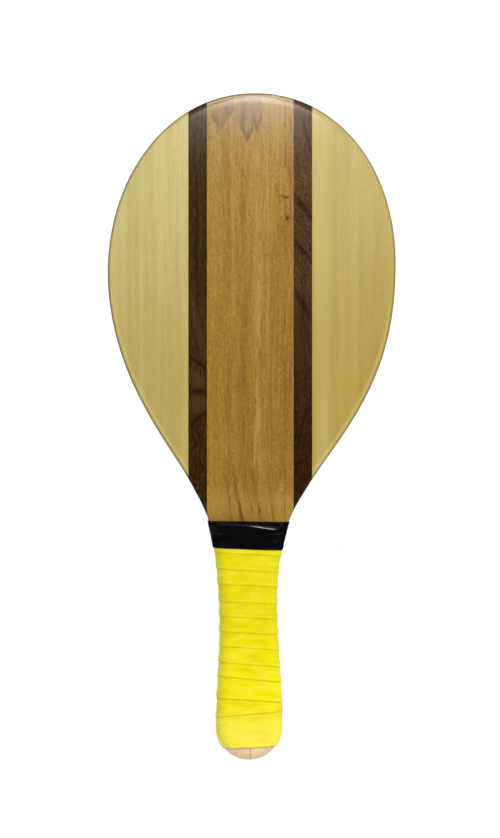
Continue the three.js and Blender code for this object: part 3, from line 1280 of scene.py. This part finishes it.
@dataclass(frozen=True)
class FinishingTape:
    """Glossy black stretched tape, whose gloss is kept to its front and its flanks."""

    name: str
    darkest: str = "060506"
    palest: str = "0c0b0e"
    pulls: Cloud = Cloud(50.0, 50.0, 520.0, 2.0, 0.6)
    smears: Cloud = Cloud(90.0, 90.0, 160.0, 3.0, 0.6)
    front: Pair = (13.0 * MM, 13.9 * MM)
    flank: Pair = (25.0 * MM, 27.0 * MM)
    front_gloss: float = 0.6
    flank_gloss: float = 0.5
    least_gloss: float = 0.1
    depth: float = 0.012 * MM

    def paint(self) -> Material:
        """Makes the material."""
        shader = Shader(self.name)
        place = shader.split(shader.place())
        x, y = place[:2]
        colour = shader.blend(shader.cloud(self.smears, place), tint(self.darkest), tint(self.palest))
        gloss = shader.rise(abs(y), *self.front) * self.front_gloss
        gloss = gloss + shader.rise(abs(x), *self.flank) * self.flank_gloss + self.least_gloss
        shader.set(Base_Color=colour, Roughness=0.55, Specular_IOR_Level=0.0)
        shader.set(Coat_Weight=gloss, Coat_Roughness=0.1, Coat_IOR=1.5)
        shader.bump(shader.cloud(self.pulls, place), self.depth)
        return shader.material


# The pieces


def fit_out(piece: Piece, nodes: Sequence[str], finish: Material) -> None:
    """Dresses a finished piece and ties it to the frame.

    Args:
        piece: The piece.
        nodes: The CAD nodes that it stands for.
        finish: Its material.
    """
    piece.data.materials.clear()
    piece.data.materials.append(finish)
    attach(piece, "root")
    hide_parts(*nodes)
    LOG.info("%s: %d faces, for %s", piece.name, len(piece.data.polygons), ", ".join(nodes))


@dataclass
class Blade:
    """Five planks glued edge to edge, and the centre plank's tang."""

    form: HandleForm
    centre_width: float = 61.1 * MM
    walnut_width: float = 13.1 * MM
    joint: float = 0.01 * MM
    round_segments: int = 7
    sanded_rings: int = 6
    sanded_width: float = 5.5 * MM
    sanded_slope: float = math.tan(math.radians(0.9))
    spare: float = 20 * MM

    def profile(self) -> Array:
        """The edge from the middle of the front face round to the back, as rows of inset and y."""
        bend, half = self.form.blade_round, self.form.tang_half
        drop = self.sanded_slope * self.sanded_width / 3
        share = np.linspace(1, 0, self.sanded_rings, endpoint=False)
        face = np.column_stack([bend + self.sanded_width * share, half - drop * (1 - share) ** 3])
        turn = np.linspace(0, QUARTER, self.round_segments + 1)
        corner = np.column_stack([bend * (1 - np.sin(turn)), half - drop - bend * (1 - np.cos(turn))])
        front = np.vstack([face, corner]) * [1, -1]
        return np.vstack([front, front[::-1] * [1, -1]])

    def blank(self) -> Piece:
        """One board of the whole blade, with rounded and sanded edges, down to under the collar."""
        rows = self.profile()
        edge = self.form.outline.edge()
        whole = np.vstack([edge, (edge[1:-1] * [-1, 1, -1, 1])[::-1]])
        piece, turn, level = ringed_tube("blank", len(whole), len(rows) - 2, "NGON")
        place = whole[np.rint(turn * len(whole)).astype(int) % len(whole)]
        inset, y = rows[np.rint(level * (len(rows) - 1)).astype(int)].T
        x = place[:, 0] - inset * place[:, 2] + self.form.outline.stray(place[:, 1])
        z = place[:, 1] - inset * place[:, 3] + self.form.outline.base
        mould(piece, np.column_stack([x, y, z]))
        face_outwards(piece)
        saw(piece, (0, 0, self.neck), (0, 0, 1))
        return piece

    @property
    def neck(self) -> float:
        """The z where the rounded blade goes over into the square tang, under the collar."""
        return self.form.outline.base + self.form.shoulder_start + self.form.shoulder_length / 2

    def tang(self) -> Piece:
        """The square-edged tang that carries the cheeks."""
        half = self.form.tang_half
        piece = cut_board("tang", self.form.outline.ring(), -half, half)
        saw(piece, (0, 0, self.neck), (0, 0, -1))
        smooth(piece)
        return piece

    def rip(self, blank: Piece, name: str, left: float, right: float) -> Piece:
        """Saws one plank out of the blank.

        Args:
            blank: The whole board.
            name: The plank's name.
            left: Its left joint, from the planks' own middle line.
            right: Its right joint.

        Returns:
            The plank.
        """
        piece = copy_piece(blank, name)
        across = Vector((math.cos(LEAN), 0, math.sin(LEAN)))
        middle = Vector((0, 0, self.form.outline.base + CROSSING))
        reach = self.form.outline.half_width
        if left > -reach:
            saw(piece, middle + across * (left + self.joint), across)
        if right < reach:
            saw(piece, middle + across * (right - self.joint), -across)
        smooth(piece)
        return piece

    def build(self) -> None:
        """Makes and dresses the five planks."""
        base = self.form.outline.base
        inner = self.centre_width / 2
        outer = inner + self.walnut_width
        far = self.form.outline.half_width + self.spare
        board = self.blank()
        left_poplar = Poplar("poplar, left", base, seed=2.0)
        left_walnut = Walnut("walnut, left", base, seed=3.0, spots=LEFT_WALNUT_SPOTS)
        right_walnut = Walnut(
            "walnut, right",
            base,
            crown="624628",
            body="4c3619",
            foot="2f1800",
            fibre="5c4020",
            crown_fade=(412.0, 386.0),
            darker_below=(345.0, 205.0),
            seed=11.0,
            slant_above=400.0,
            mottled=(352.0, 440.0),
            spots=RIGHT_WALNUT_SPOTS,
        )
        right_poplar = Poplar(
            "poplar, right",
            base,
            upper="d5c27e",
            lower="b89f51",
            band="a68a3a",
            fleck="83692b",
            pale="d3c378",
            seed=9.0,
            band_share=0.2604,
            pale_middle=51.0,
            pale_reach=5.0,
        )
        boards = (
            ("plank_centre", "beech", "centre_plank", -inner, inner, Beech("golden beech", base)),
            ("strip_left", "walnut", "walnut_strip_left", -outer, -inner, left_walnut),
            ("strip_right", "walnut", "walnut_strip_right", inner, outer, right_walnut),
            ("board_left", "poplar", "side_board_left", -far, -outer, left_poplar),
            ("board_right", "poplar", "side_board_right", outer, far, right_poplar),
        )
        for name, slot, node, left, right, finish in boards:
            piece = self.rip(board, name, left, right)
            if slot == "beech":
                join(piece, self.tang())
            fit_out(piece, [node], finish.paint())
        scrap(board)


@dataclass
class Cheeks:
    """Four shells that thicken the handle, glued to both faces of the tang."""

    form: HandleForm
    glue: float = 0.03 * MM
    sink: float = 3.4 * MM
    round_segments: int = 12
    shoulder_cuts: int = 9
    spare: float = 20 * MM

    def blank(self) -> Piece:
        """The handle's outline at its full thickness, rounded all along its edge."""
        outline, half = self.form.outline, self.form.half
        top = self.form.shoulder_start + self.form.shoulder_length + self.spare
        piece = cut_board("handle blank", outline.ring(top), -half, half)
        with edit_mode(piece) as mesh:
            select_edges(piece, mesh, lambda edge: self._is_rim(edge, outline.base + top))
            bpy.ops.mesh.bevel(offset=self.form.cheek, segments=self.round_segments, affect="EDGES")
        return piece

    def _is_rim(self, edge: bmesh.types.BMEdge, top: float) -> bool:
        """Whether an edge runs along the outline on one of the faces, below the straight top."""
        first, second = (vertex.co for vertex in edge.verts)
        return first.y * second.y > 0 and min(first.z, second.z) < top - MM / 2

    def carve(self, blank: Piece, face: Face, side: Side) -> Piece:
        """Saws one cheek out of the blank and rounds its shoulder off with slanting cuts.

        Args:
            blank: The handle's whole thickness.
            face: The face of the racket that it lies on.
            side: Its side of the joint in the middle.

        Returns:
            The cheek.
        """
        form = self.form
        piece = copy_piece(blank, f"{side.name}_cheek_{face.name}".lower())
        start = form.outline.base + form.shoulder_start - self.sink
        for turn in np.linspace(QUARTER, 0, self.shoulder_cuts, endpoint=False):
            across, up = math.cos(turn), math.sin(turn)
            depth = form.tang_half + form.cheek * across
            point = (0, face.value * depth, start + form.shoulder_length * up)
            out = Vector((0, face.value * across / form.cheek, up / form.shoulder_length)).normalized()
            saw(piece, point, -out)
        saw(piece, (0, face.value * (form.tang_half + self.glue), 0), (0, face.value, 0))
        saw(piece, (side.value * self.glue, 0, 0), (side.value, 0, 0))
        smooth(piece)
        return piece

    def build(self) -> None:
        """Makes and dresses the four cheeks."""
        handle = self.blank()
        for face in Face:
            for side in Side:
                node = f"{face.name}_cheek_{side.name}".lower()
                seed = 5.0 + 2.0 * side.value + face.value
                finish = CheekWood(f"cheek wood, {node}", self.form.outline.base, seed=seed)
                fit_out(self.carve(handle, face, side), [node], finish.paint())
        scrap(handle)


@dataclass
class GripTape:
    """One soft tape wound from the butt up to the neck, each turn's lower edge on the turn below.

    Turns are counted from the first one's right side. Rates are hills to each turn and millimetre up.
    """

    form: HandleForm
    thickness: float = 0.45 * MM
    body_share: float = 0.92
    clearance: float = 0.45 * MM
    lap: float = 3 * MM
    lap_fade: Pair = (0.75, 1.9)
    first_lap: Pair = (0.9, 1.05)
    last_lap: Pair = (-2.0 * MM, 0.5 * MM)
    thinnest: Pair = (0.9, 0.6)
    tuck: float = 2.4 * MM
    collar_bottom: float = 148.4 * MM
    rings_per_turn: int = 108
    rows: int = 30
    first_turn: float = -0.5
    last_turn: float = 12.3
    # Heights of the tape's lower edge at the right and left sides, turn by turn, in millimetres
    edges_mm: tuple[Pair, ...] = (
        (10.4, 7.8),
        (35.0, 28.8),
        (40.2, 43.6),
        (54.8, 59.4),
        (64.8, 69.7),
        (77.0, 80.7),
        (88.6, 90.7),
        (98.5, 101.7),
        (109.8, 111.6),
        (121.5, 124.3),
        (131.9, 135.0),
        (142.7, 146.9),
        (154.0, 158.0),
        (165.0, 169.0),
    )
    start_mm: float = 8.8
    rounding: float = 0.09
    rounding_steps: int = 9
    wobble: float = 0.45 * MM
    wobble_rate: float = 5.0
    wrinkle: float = 0.05 * MM
    wrinkle_rates: Pair = (9.0, 0.62)
    bottom_wrinkle: float = 0.07 * MM
    bottom_band: Pair = (26 * MM, 36 * MM)
    swell: float = 0.09 * MM
    swell_rates: Pair = (22.0, 0.16)
    edge_roll: float = 0.22 * MM
    edge_roll_reach: float = 0.35 * MM
    round_below: float = math.radians(50)

    def relief(self, turns: Array, height: Array, rates: Pair, seed: float, octaves: int = 1) -> Array:
        """Soft hills and hollows on the wound tape.

        Args:
            turns: How many turns along.
            height: Heights above the butt.
            rates: Hills to each turn and to each millimetre up.
            seed: Which relief.
            octaves: How many finer layers it has.

        Returns:
            Heights between about -1 and 1.
        """
        return ripple([turns * rates[0], height / MM * rates[1], turns * 0 + seed], octaves)

    def lower_edge(self, turns: Array) -> Array:
        """The height of the tape's lower edge.

        Args:
            turns: How many turns along.

        Returns:
            Heights above the butt.
        """
        heights = [self.start_mm] + [height for pair in self.edges_mm for height in pair]
        places = self.first_turn + 0.5 * np.arange(len(heights))
        offsets = np.linspace(-self.rounding, self.rounding, self.rounding_steps)
        weights = 1 + np.cos(offsets / self.rounding * math.pi * 0.9)
        spread = [np.interp(turns + offset, places, heights) for offset in offsets]
        rounded = np.average(spread, axis=0, weights=weights) * MM
        return rounded + ripple([turns * self.wobble_rate, turns * 0 + 0.5, turns * 0]) * self.wobble

    def surface(self, along: Array, across: Array) -> tuple[Array, Array]:
        """Where the tape's outer face lies.

        Args:
            along: How far along the tape, 0 to 1.
            across: How far up from its lower edge, 0 to 1.

        Returns:
            The points, and each one's distance from the lower edge in millimetres.
        """
        turns = self.first_turn + along * (self.last_turn - self.first_turn)
        high = np.minimum(self.lower_edge(turns + 1) + self.lap, self.collar_bottom + self.tuck)
        low = np.minimum(self.lower_edge(turns), high - MM)
        up = (high - low) * across
        height = low + up
        lifted = 1 - fade(up / self.lap, *self.lap_fade)
        lifted = lifted * fade(turns - self.first_turn, *self.first_lap)
        lifted = lifted * (1 - fade(height - self.collar_bottom, *self.last_lap))
        depth = self.wrinkle + self.bottom_wrinkle * (1 - fade(height, *self.bottom_band))
        relief = self.relief(turns, height, self.wrinkle_rates, 3.0, 2) * depth
        relief = relief + self.relief(turns, height, self.swell_rates, 8.0) * self.swell
        relief = relief - np.exp(-up / self.edge_roll_reach) * self.edge_roll * lifted
        out = self.clearance + self.thickness * (1 + lifted) + relief
        least = self.thinnest[0] + self.thinnest[1] * lifted
        out = np.maximum(out, self.clearance + self.thickness * least)
        return self.form.section(turns, height, np.ones_like(height), out), up / MM

    def build(self) -> None:
        """Makes and dresses the tape."""
        rings = int(self.rings_per_turn * (self.last_turn - self.first_turn))
        grid = bpy.ops.mesh.primitive_grid_add
        piece = start_piece(grid, "wound_tape", x_subdivisions=rings, y_subdivisions=self.rows, size=1)
        flat = np.array([vertex.co[:2] for vertex in piece.data.vertices]) + 0.5
        points, up = self.surface(flat[:, 0], flat[:, 1])
        distance = piece.data.attributes.new("edge_mm", "FLOAT", "POINT")
        distance.data.foreach_set("value", up)
        mould(piece, points)
        if self._faces_inwards(piece):
            with edit_mode(piece):
                bpy.ops.mesh.select_all(action="SELECT")
                bpy.ops.mesh.flip_normals()
        thickness = self.thickness * self.body_share
        apply_modifier(piece, "SOLIDIFY", thickness=thickness, offset=-1.0, use_even_offset=True)
        smooth(piece, self.round_below)
        finish = Overgrip("yellow overgrip", self.form.outline.base)
        fit_out(piece, ["grip_tape"], finish.paint())

    def _faces_inwards(self, piece: Piece) -> bool:
        """Whether the tape's faces look at the handle's middle line."""
        middle = piece.data.polygons[len(piece.data.polygons) // 2]
        return middle.normal.x * middle.center.x + middle.normal.y * middle.center.y < 0


@dataclass
class Collar:
    """Finishing tape wound round the neck, over the grip tape's end and the cheeks' shoulders.

    Near the top it is turned in over a fold, whose round back carries a bright gleam. Rates are hills to
    each half width round and to each millimetre up.
    """

    form: HandleForm
    top: float = 167.9 * MM
    bottom: float = 148.4 * MM
    slant: float = math.radians(1.2)
    top_slant: float = 0.3
    bottom_slant: float = 1.4
    wander: float = 0.25 * MM
    top_wander: float = 0.5
    bottom_wander: float = 0.6
    thickness: float = 0.3 * MM
    front_off: float = 1.5 * MM
    side_off: float = 0.75 * MM
    side_taper: float = 1.1 * MM
    side_from: Pair = (0.8, 0.98)
    rim_from: Pair = (0.94, 1.0)
    crown_radius: float = 900 * MM
    stations: int = 240
    rows: int = 59
    rows_below: int = 33
    row_bunching: float = 1.4
    # Where the upper layers' lower edges lie: the height at the right side, and its change to the left
    layers_mm: tuple[Pair, ...] = ((159.6, -1.2), (154.2, -2.5))
    layer_thickness: float = 0.09 * MM
    layer_edge: float = 0.7 * MM
    curl_height: float = 1.8 * MM
    front_curl: float = 0.25 * MM
    side_curl: float = 0.5 * MM
    crease: float = 0.02 * MM
    crease_rates: Pair = (1.6, 0.2)
    rim_crease: float = 0.14 * MM
    rim_crease_rates: Pair = (4.0, 0.33)
    # How far below the top edge the gleam lies: a curve over the place across, in millimetres
    gleam_curve: tuple[float, float, float] = (0.0022, 0.09, 3.0)
    gleam_tilt: float = math.radians(33)
    fold_radius: float = 3.2 * MM
    fold_tilt: float = math.radians(15)
    turn_tilts: Pair = (86.0, 40.0)
    turn_steps: int = 24
    lip: float = 0.5 * MM
    bevel: float = 0.15 * MM
    bevel_over: float = math.radians(60)
    round_below: float = math.radians(13)

    def gleam_below(self, x: Array) -> Array:
        """How far below the top edge the fold's gleam lies, at places across the front."""
        return np.polyval(self.gleam_curve, x / MM) * MM

    def crest(self, x: Array, below: Array) -> Array:
        """How much of the cheeks' thickness the tape covers, 0 to 1.

        The face is upright up to a round fold, and above it drops steeply to the blade. The fold lies
        further below the top edge on the right.

        Args:
            x: Places across the front.
            below: How far each point lies below the collar's top edge.

        Returns:
            The shares.
        """
        depth, radius, start = self.form.cheek, self.fold_radius, self.fold_tilt
        gleam = self.gleam_below(x)
        steep = np.radians(np.linspace(*self.turn_tilts, self.turn_steps))
        fall = (depth - radius * (math.cos(start) - np.cos(steep))) / np.tan(steep)
        room = radius * (np.sin(steep) - math.sin(self.gleam_tilt)) + fall
        tilt = np.interp(gleam - self.lip, room, steep)
        turned = radius * math.sin(self.gleam_tilt) + gleam - below
        within = np.clip(turned, radius * math.sin(start), radius * np.sin(tilt))
        drop = radius * math.cos(start) - np.sqrt(radius**2 - within**2)
        drop = drop + np.clip(turned - within, 0, None) * np.tan(tilt)
        return np.clip(1 - drop / depth, 0, 1)

    def rows_at(self, up: Array, low: Array, fold: Array, high: Array) -> Array:
        """Spreads the rows evenly up to the fold, and closer together just over it.

        Args:
            up: How far up from the lower edge, 0 to 1.
            low: The lower edge's heights.
            fold: The fold's heights.
            high: The top edge's heights.

        Returns:
            Heights above the butt.
        """
        share = self.rows_below / (self.rows + 1)
        over = np.clip((up - share) / (1 - share), 0, 1) ** self.row_bunching
        return np.where(up < share, low + (fold - low) * up / share, fold + (high - fold) * over)

    def surface(self, share: Array, up: Array) -> Array:
        """Where the collar's outer face lies.

        Args:
            share: How far round from the right side over the front, 0 to 1.
            up: How far up from its lower edge, 0 to 1.

        Returns:
            Rows of x, y and z.
        """
        swing, depth = np.cos(share * ROUND), np.sin(share * ROUND)
        reach = self.form.outline.half_width_at(self.bottom + 0 * share)
        lean = -swing * reach * math.tan(self.slant)
        wander = ripple([swing * 2, depth * 2, up * 0]) * self.wander
        low = self.bottom + lean * self.bottom_slant + wander * self.bottom_wander
        high = self.top + lean * self.top_slant + wander * self.top_wander
        to_gleam = self.fold_radius * (math.sin(self.gleam_tilt) - math.sin(self.fold_tilt))
        height = self.rows_at(up, low, high - self.gleam_below(swing * reach) - to_gleam, high)
        side = fade(np.abs(swing), *self.side_from)
        out = self.front_off + (self.side_off + self.side_taper * (1 - up) - self.front_off) * side
        for right_height, change in self.layers_mm:
            edge = (right_height + change * (1 - swing) / 2) * MM
            out = out + self.layer_thickness * (fade(height - edge, 0, self.layer_edge) - 1)
        curl = np.clip(1 - (height - low) / self.curl_height, 0, 1)
        out = out - (self.front_curl + self.side_curl * side) * (1 - np.sqrt(1 - curl**2))
        rim = fade(np.abs(swing), *self.rim_from)
        for size, (round_rate, up_rate), octaves in (
            (self.crease, self.crease_rates, 2),
            (self.rim_crease * rim, self.rim_crease_rates, 1),
        ):
            hills = [swing * round_rate, depth * round_rate, height / MM * up_rate]
            out = out + ripple(hills, octaves) * size
        points = self.form.section(share, height, self.crest(swing * reach, high - height), out)
        bulge = (reach**2 - points[:, 0] ** 2).clip(0) / (2 * self.crown_radius)
        points[:, 1] += np.sign(points[:, 1]) * bulge * (1 - side)
        return points

    def build(self) -> None:
        """Makes and dresses the collar."""
        piece, turn, level = ringed_tube("collar_band", self.stations, self.rows, "NOTHING")
        steps = self.rows + 1
        mould(piece, self.surface(-turn % 1, np.rint(level * steps) / steps))
        face_outwards(piece)
        apply_modifier(piece, "SOLIDIFY", thickness=self.thickness, offset=-1.0, use_even_offset=True)
        edges = {"limit_method": "ANGLE", "angle_limit": self.bevel_over}
        apply_modifier(piece, "BEVEL", width=self.bevel, segments=2, **edges)
        smooth(piece, self.round_below)
        finish = FinishingTape("black finishing tape")
        fit_out(piece, ["neck_collar"], finish.paint())


# The studio


def sines(angles: Pair) -> Pair:
    """How far up, or to the right, directions at these angles point."""
    return math.sin(math.radians(angles[0])), math.sin(math.radians(angles[1]))


@dataclass
class Studio:
    """A pale floor well below the racket, soft light, and the camera.

    What the gloss mirrors lies between pairs of elevations, each pair running from none to all of it.
    """

    base: float
    distance: float = 3.0
    field_height: float = 591.8 * MM
    look_at: Pair = (-0.8 * MM, 161.8 * MM)
    roll: float = -LEAN
    sensor: float = 36.0
    floor_drop: float = 0.3
    floor_size: float = 60.0
    floor_glow: float = 0.1
    ground: float = 1.05
    sky: float = 0.68
    dusk: float = 0.02
    ceiling: float = 0.12
    ceiling_from: Pair = (26.0, 45.0)
    softbox: float = 12.4
    softbox_from: Pair = (3.2, 5.0)
    softbox_curve: float = 1.5
    softbox_core: float = 0.4
    softbox_core_from: Pair = (4.05, 4.7)
    softbox_until: Pair = (20.0, 13.0)
    softbox_left: Pair = (-1.8, 0.3)
    softbox_right: Pair = (1.8, -0.1)
    strip: float = 30.0
    strip_from: Pair = (44.0, 56.0)
    strip_until: Pair = (80.0, 70.0)
    strip_left: Pair = (5.8, 6.95)
    strip_right: Pair = (8.51, 7.354)
    strip_ends: float = 0.015
    floor_gloss: float = 0.45
    floor_from: Pair = (-11.0, -17.0)
    sun_power: float = 1.85
    sun_from: Pair = (28.0, 34.0)
    sun_width: float = 30.0

    def floor(self) -> None:
        """Lays the floor, which the varnish doesn't mirror."""
        place = (0, 0, self.base - self.floor_drop)
        piece = start_piece(
            bpy.ops.mesh.primitive_plane_add, "studio_floor", size=self.floor_size, location=place
        )
        piece.visible_glossy = False
        shader = Shader("pale floor")
        cloud = shader.cloud(Cloud(1.0, 1.0, 1.0), shader.split(shader.place()))
        colour = shader.blend(cloud, (0.94, 0.94, 0.93, 1), (0.97, 0.97, 0.97, 1))
        shader.set(Base_Color=colour, Roughness=0.9)
        shader.set(Emission_Color=(1, 1, 1, 1), Emission_Strength=self.floor_glow)
        piece.data.materials.append(shader.material)

    def world(self) -> None:
        """A white ground for the camera, an even sky for the racket, and lamps for its gloss to mirror."""
        world = bpy.data.worlds.new("studio")
        bpy.context.scene.world = world
        world.use_nodes = True
        sums = Sums(world.node_tree)
        x, _, z = sums.split(sums.node("ShaderNodeTexCoord", {}, {}, "Generated"))
        kinds = sums.tree.nodes.new("ShaderNodeLightPath").outputs

        def window(place: Wire, angles: Pair) -> Wire:
            """How far a direction is from the first of two angles to the second."""
            return sums.rise(place, *sines(angles))

        core = window(z, self.softbox_core_from) * self.softbox_core
        box = window(z, self.softbox_from) ** self.softbox_curve + core
        box = box * window(z, self.softbox_until)
        box = box * window(x, self.softbox_left) * window(x, self.softbox_right)
        across = window(x, self.strip_left) * window(x, self.strip_right)
        strip = window(z, self.strip_from) * window(z, self.strip_until)
        strip = strip * (across * (1 - self.strip_ends) + self.strip_ends)
        gloss = box * self.softbox + strip * self.strip + window(z, self.ceiling_from) * self.ceiling
        gloss = gloss + window(z, self.floor_from) * self.floor_gloss + self.dusk
        lit = sums.pick(Wire(sums, kinds["Is Glossy Ray"]), self.sky, gloss)
        strength = sums.pick(Wire(sums, kinds["Is Camera Ray"]), lit, self.ground)
        background = sums.tree.nodes["Background"]
        background.inputs["Color"].default_value = (1, 1, 1, 1)
        sums.tree.links.new(strength.socket, background.inputs["Strength"])

    def sun(self) -> None:
        """Hangs a broad soft light far off on the right, which gloss doesn't mirror."""
        lamp = bpy.data.lights.new("key", "SUN")
        lamp.energy = self.sun_power
        lamp.angle = math.radians(self.sun_width)
        holder = bpy.data.objects.new("key", lamp)
        azimuth, up = (math.radians(angle) for angle in self.sun_from)
        level = math.cos(up)
        direction = Vector((math.sin(azimuth) * level, -math.cos(azimuth) * level, math.sin(up)))
        holder.rotation_euler = direction.to_track_quat("Z", "Y").to_euler()
        holder.visible_glossy = False
        bpy.context.scene.collection.objects.link(holder)

    def camera(self) -> None:
        """Sets the camera up in front, a long way off, rolled so that the planks stand upright."""
        lens = bpy.data.cameras.new("camera")
        lens.sensor_width = self.sensor
        lens.lens = self.sensor * self.distance / self.field_height
        holder = bpy.data.objects.new("camera", lens)
        holder.location = (self.look_at[0], -self.distance, self.look_at[1])
        holder.rotation_euler = (QUARTER, self.roll, 0)
        bpy.context.scene.collection.objects.link(holder)
        bpy.context.scene.camera = holder

    def build(self) -> None:
        """Sets up the whole studio."""
        bpy.context.scene.view_settings.view_transform = "Standard"
        self.camera()
        self.floor()
        self.world()
        self.sun()


def main() -> None:
    """Builds the racket's pieces in order, and the studio round them."""
    logging.basicConfig(level=logging.INFO, format="%(name)s: %(message)s")
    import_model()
    low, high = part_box("centre_plank")
    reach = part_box("side_board_right")[1][0]
    outline = Outline(length=high[2] - low[2], half_width=reach, base=low[2])
    form = HandleForm(outline)
    Studio(outline.base).build()
    Blade(form).build()
    Cheeks(form).build()
    GripTape(form).build()
    Collar(form).build()
    bpy.context.view_layer.update()


if __name__ == "__main__":
    main()
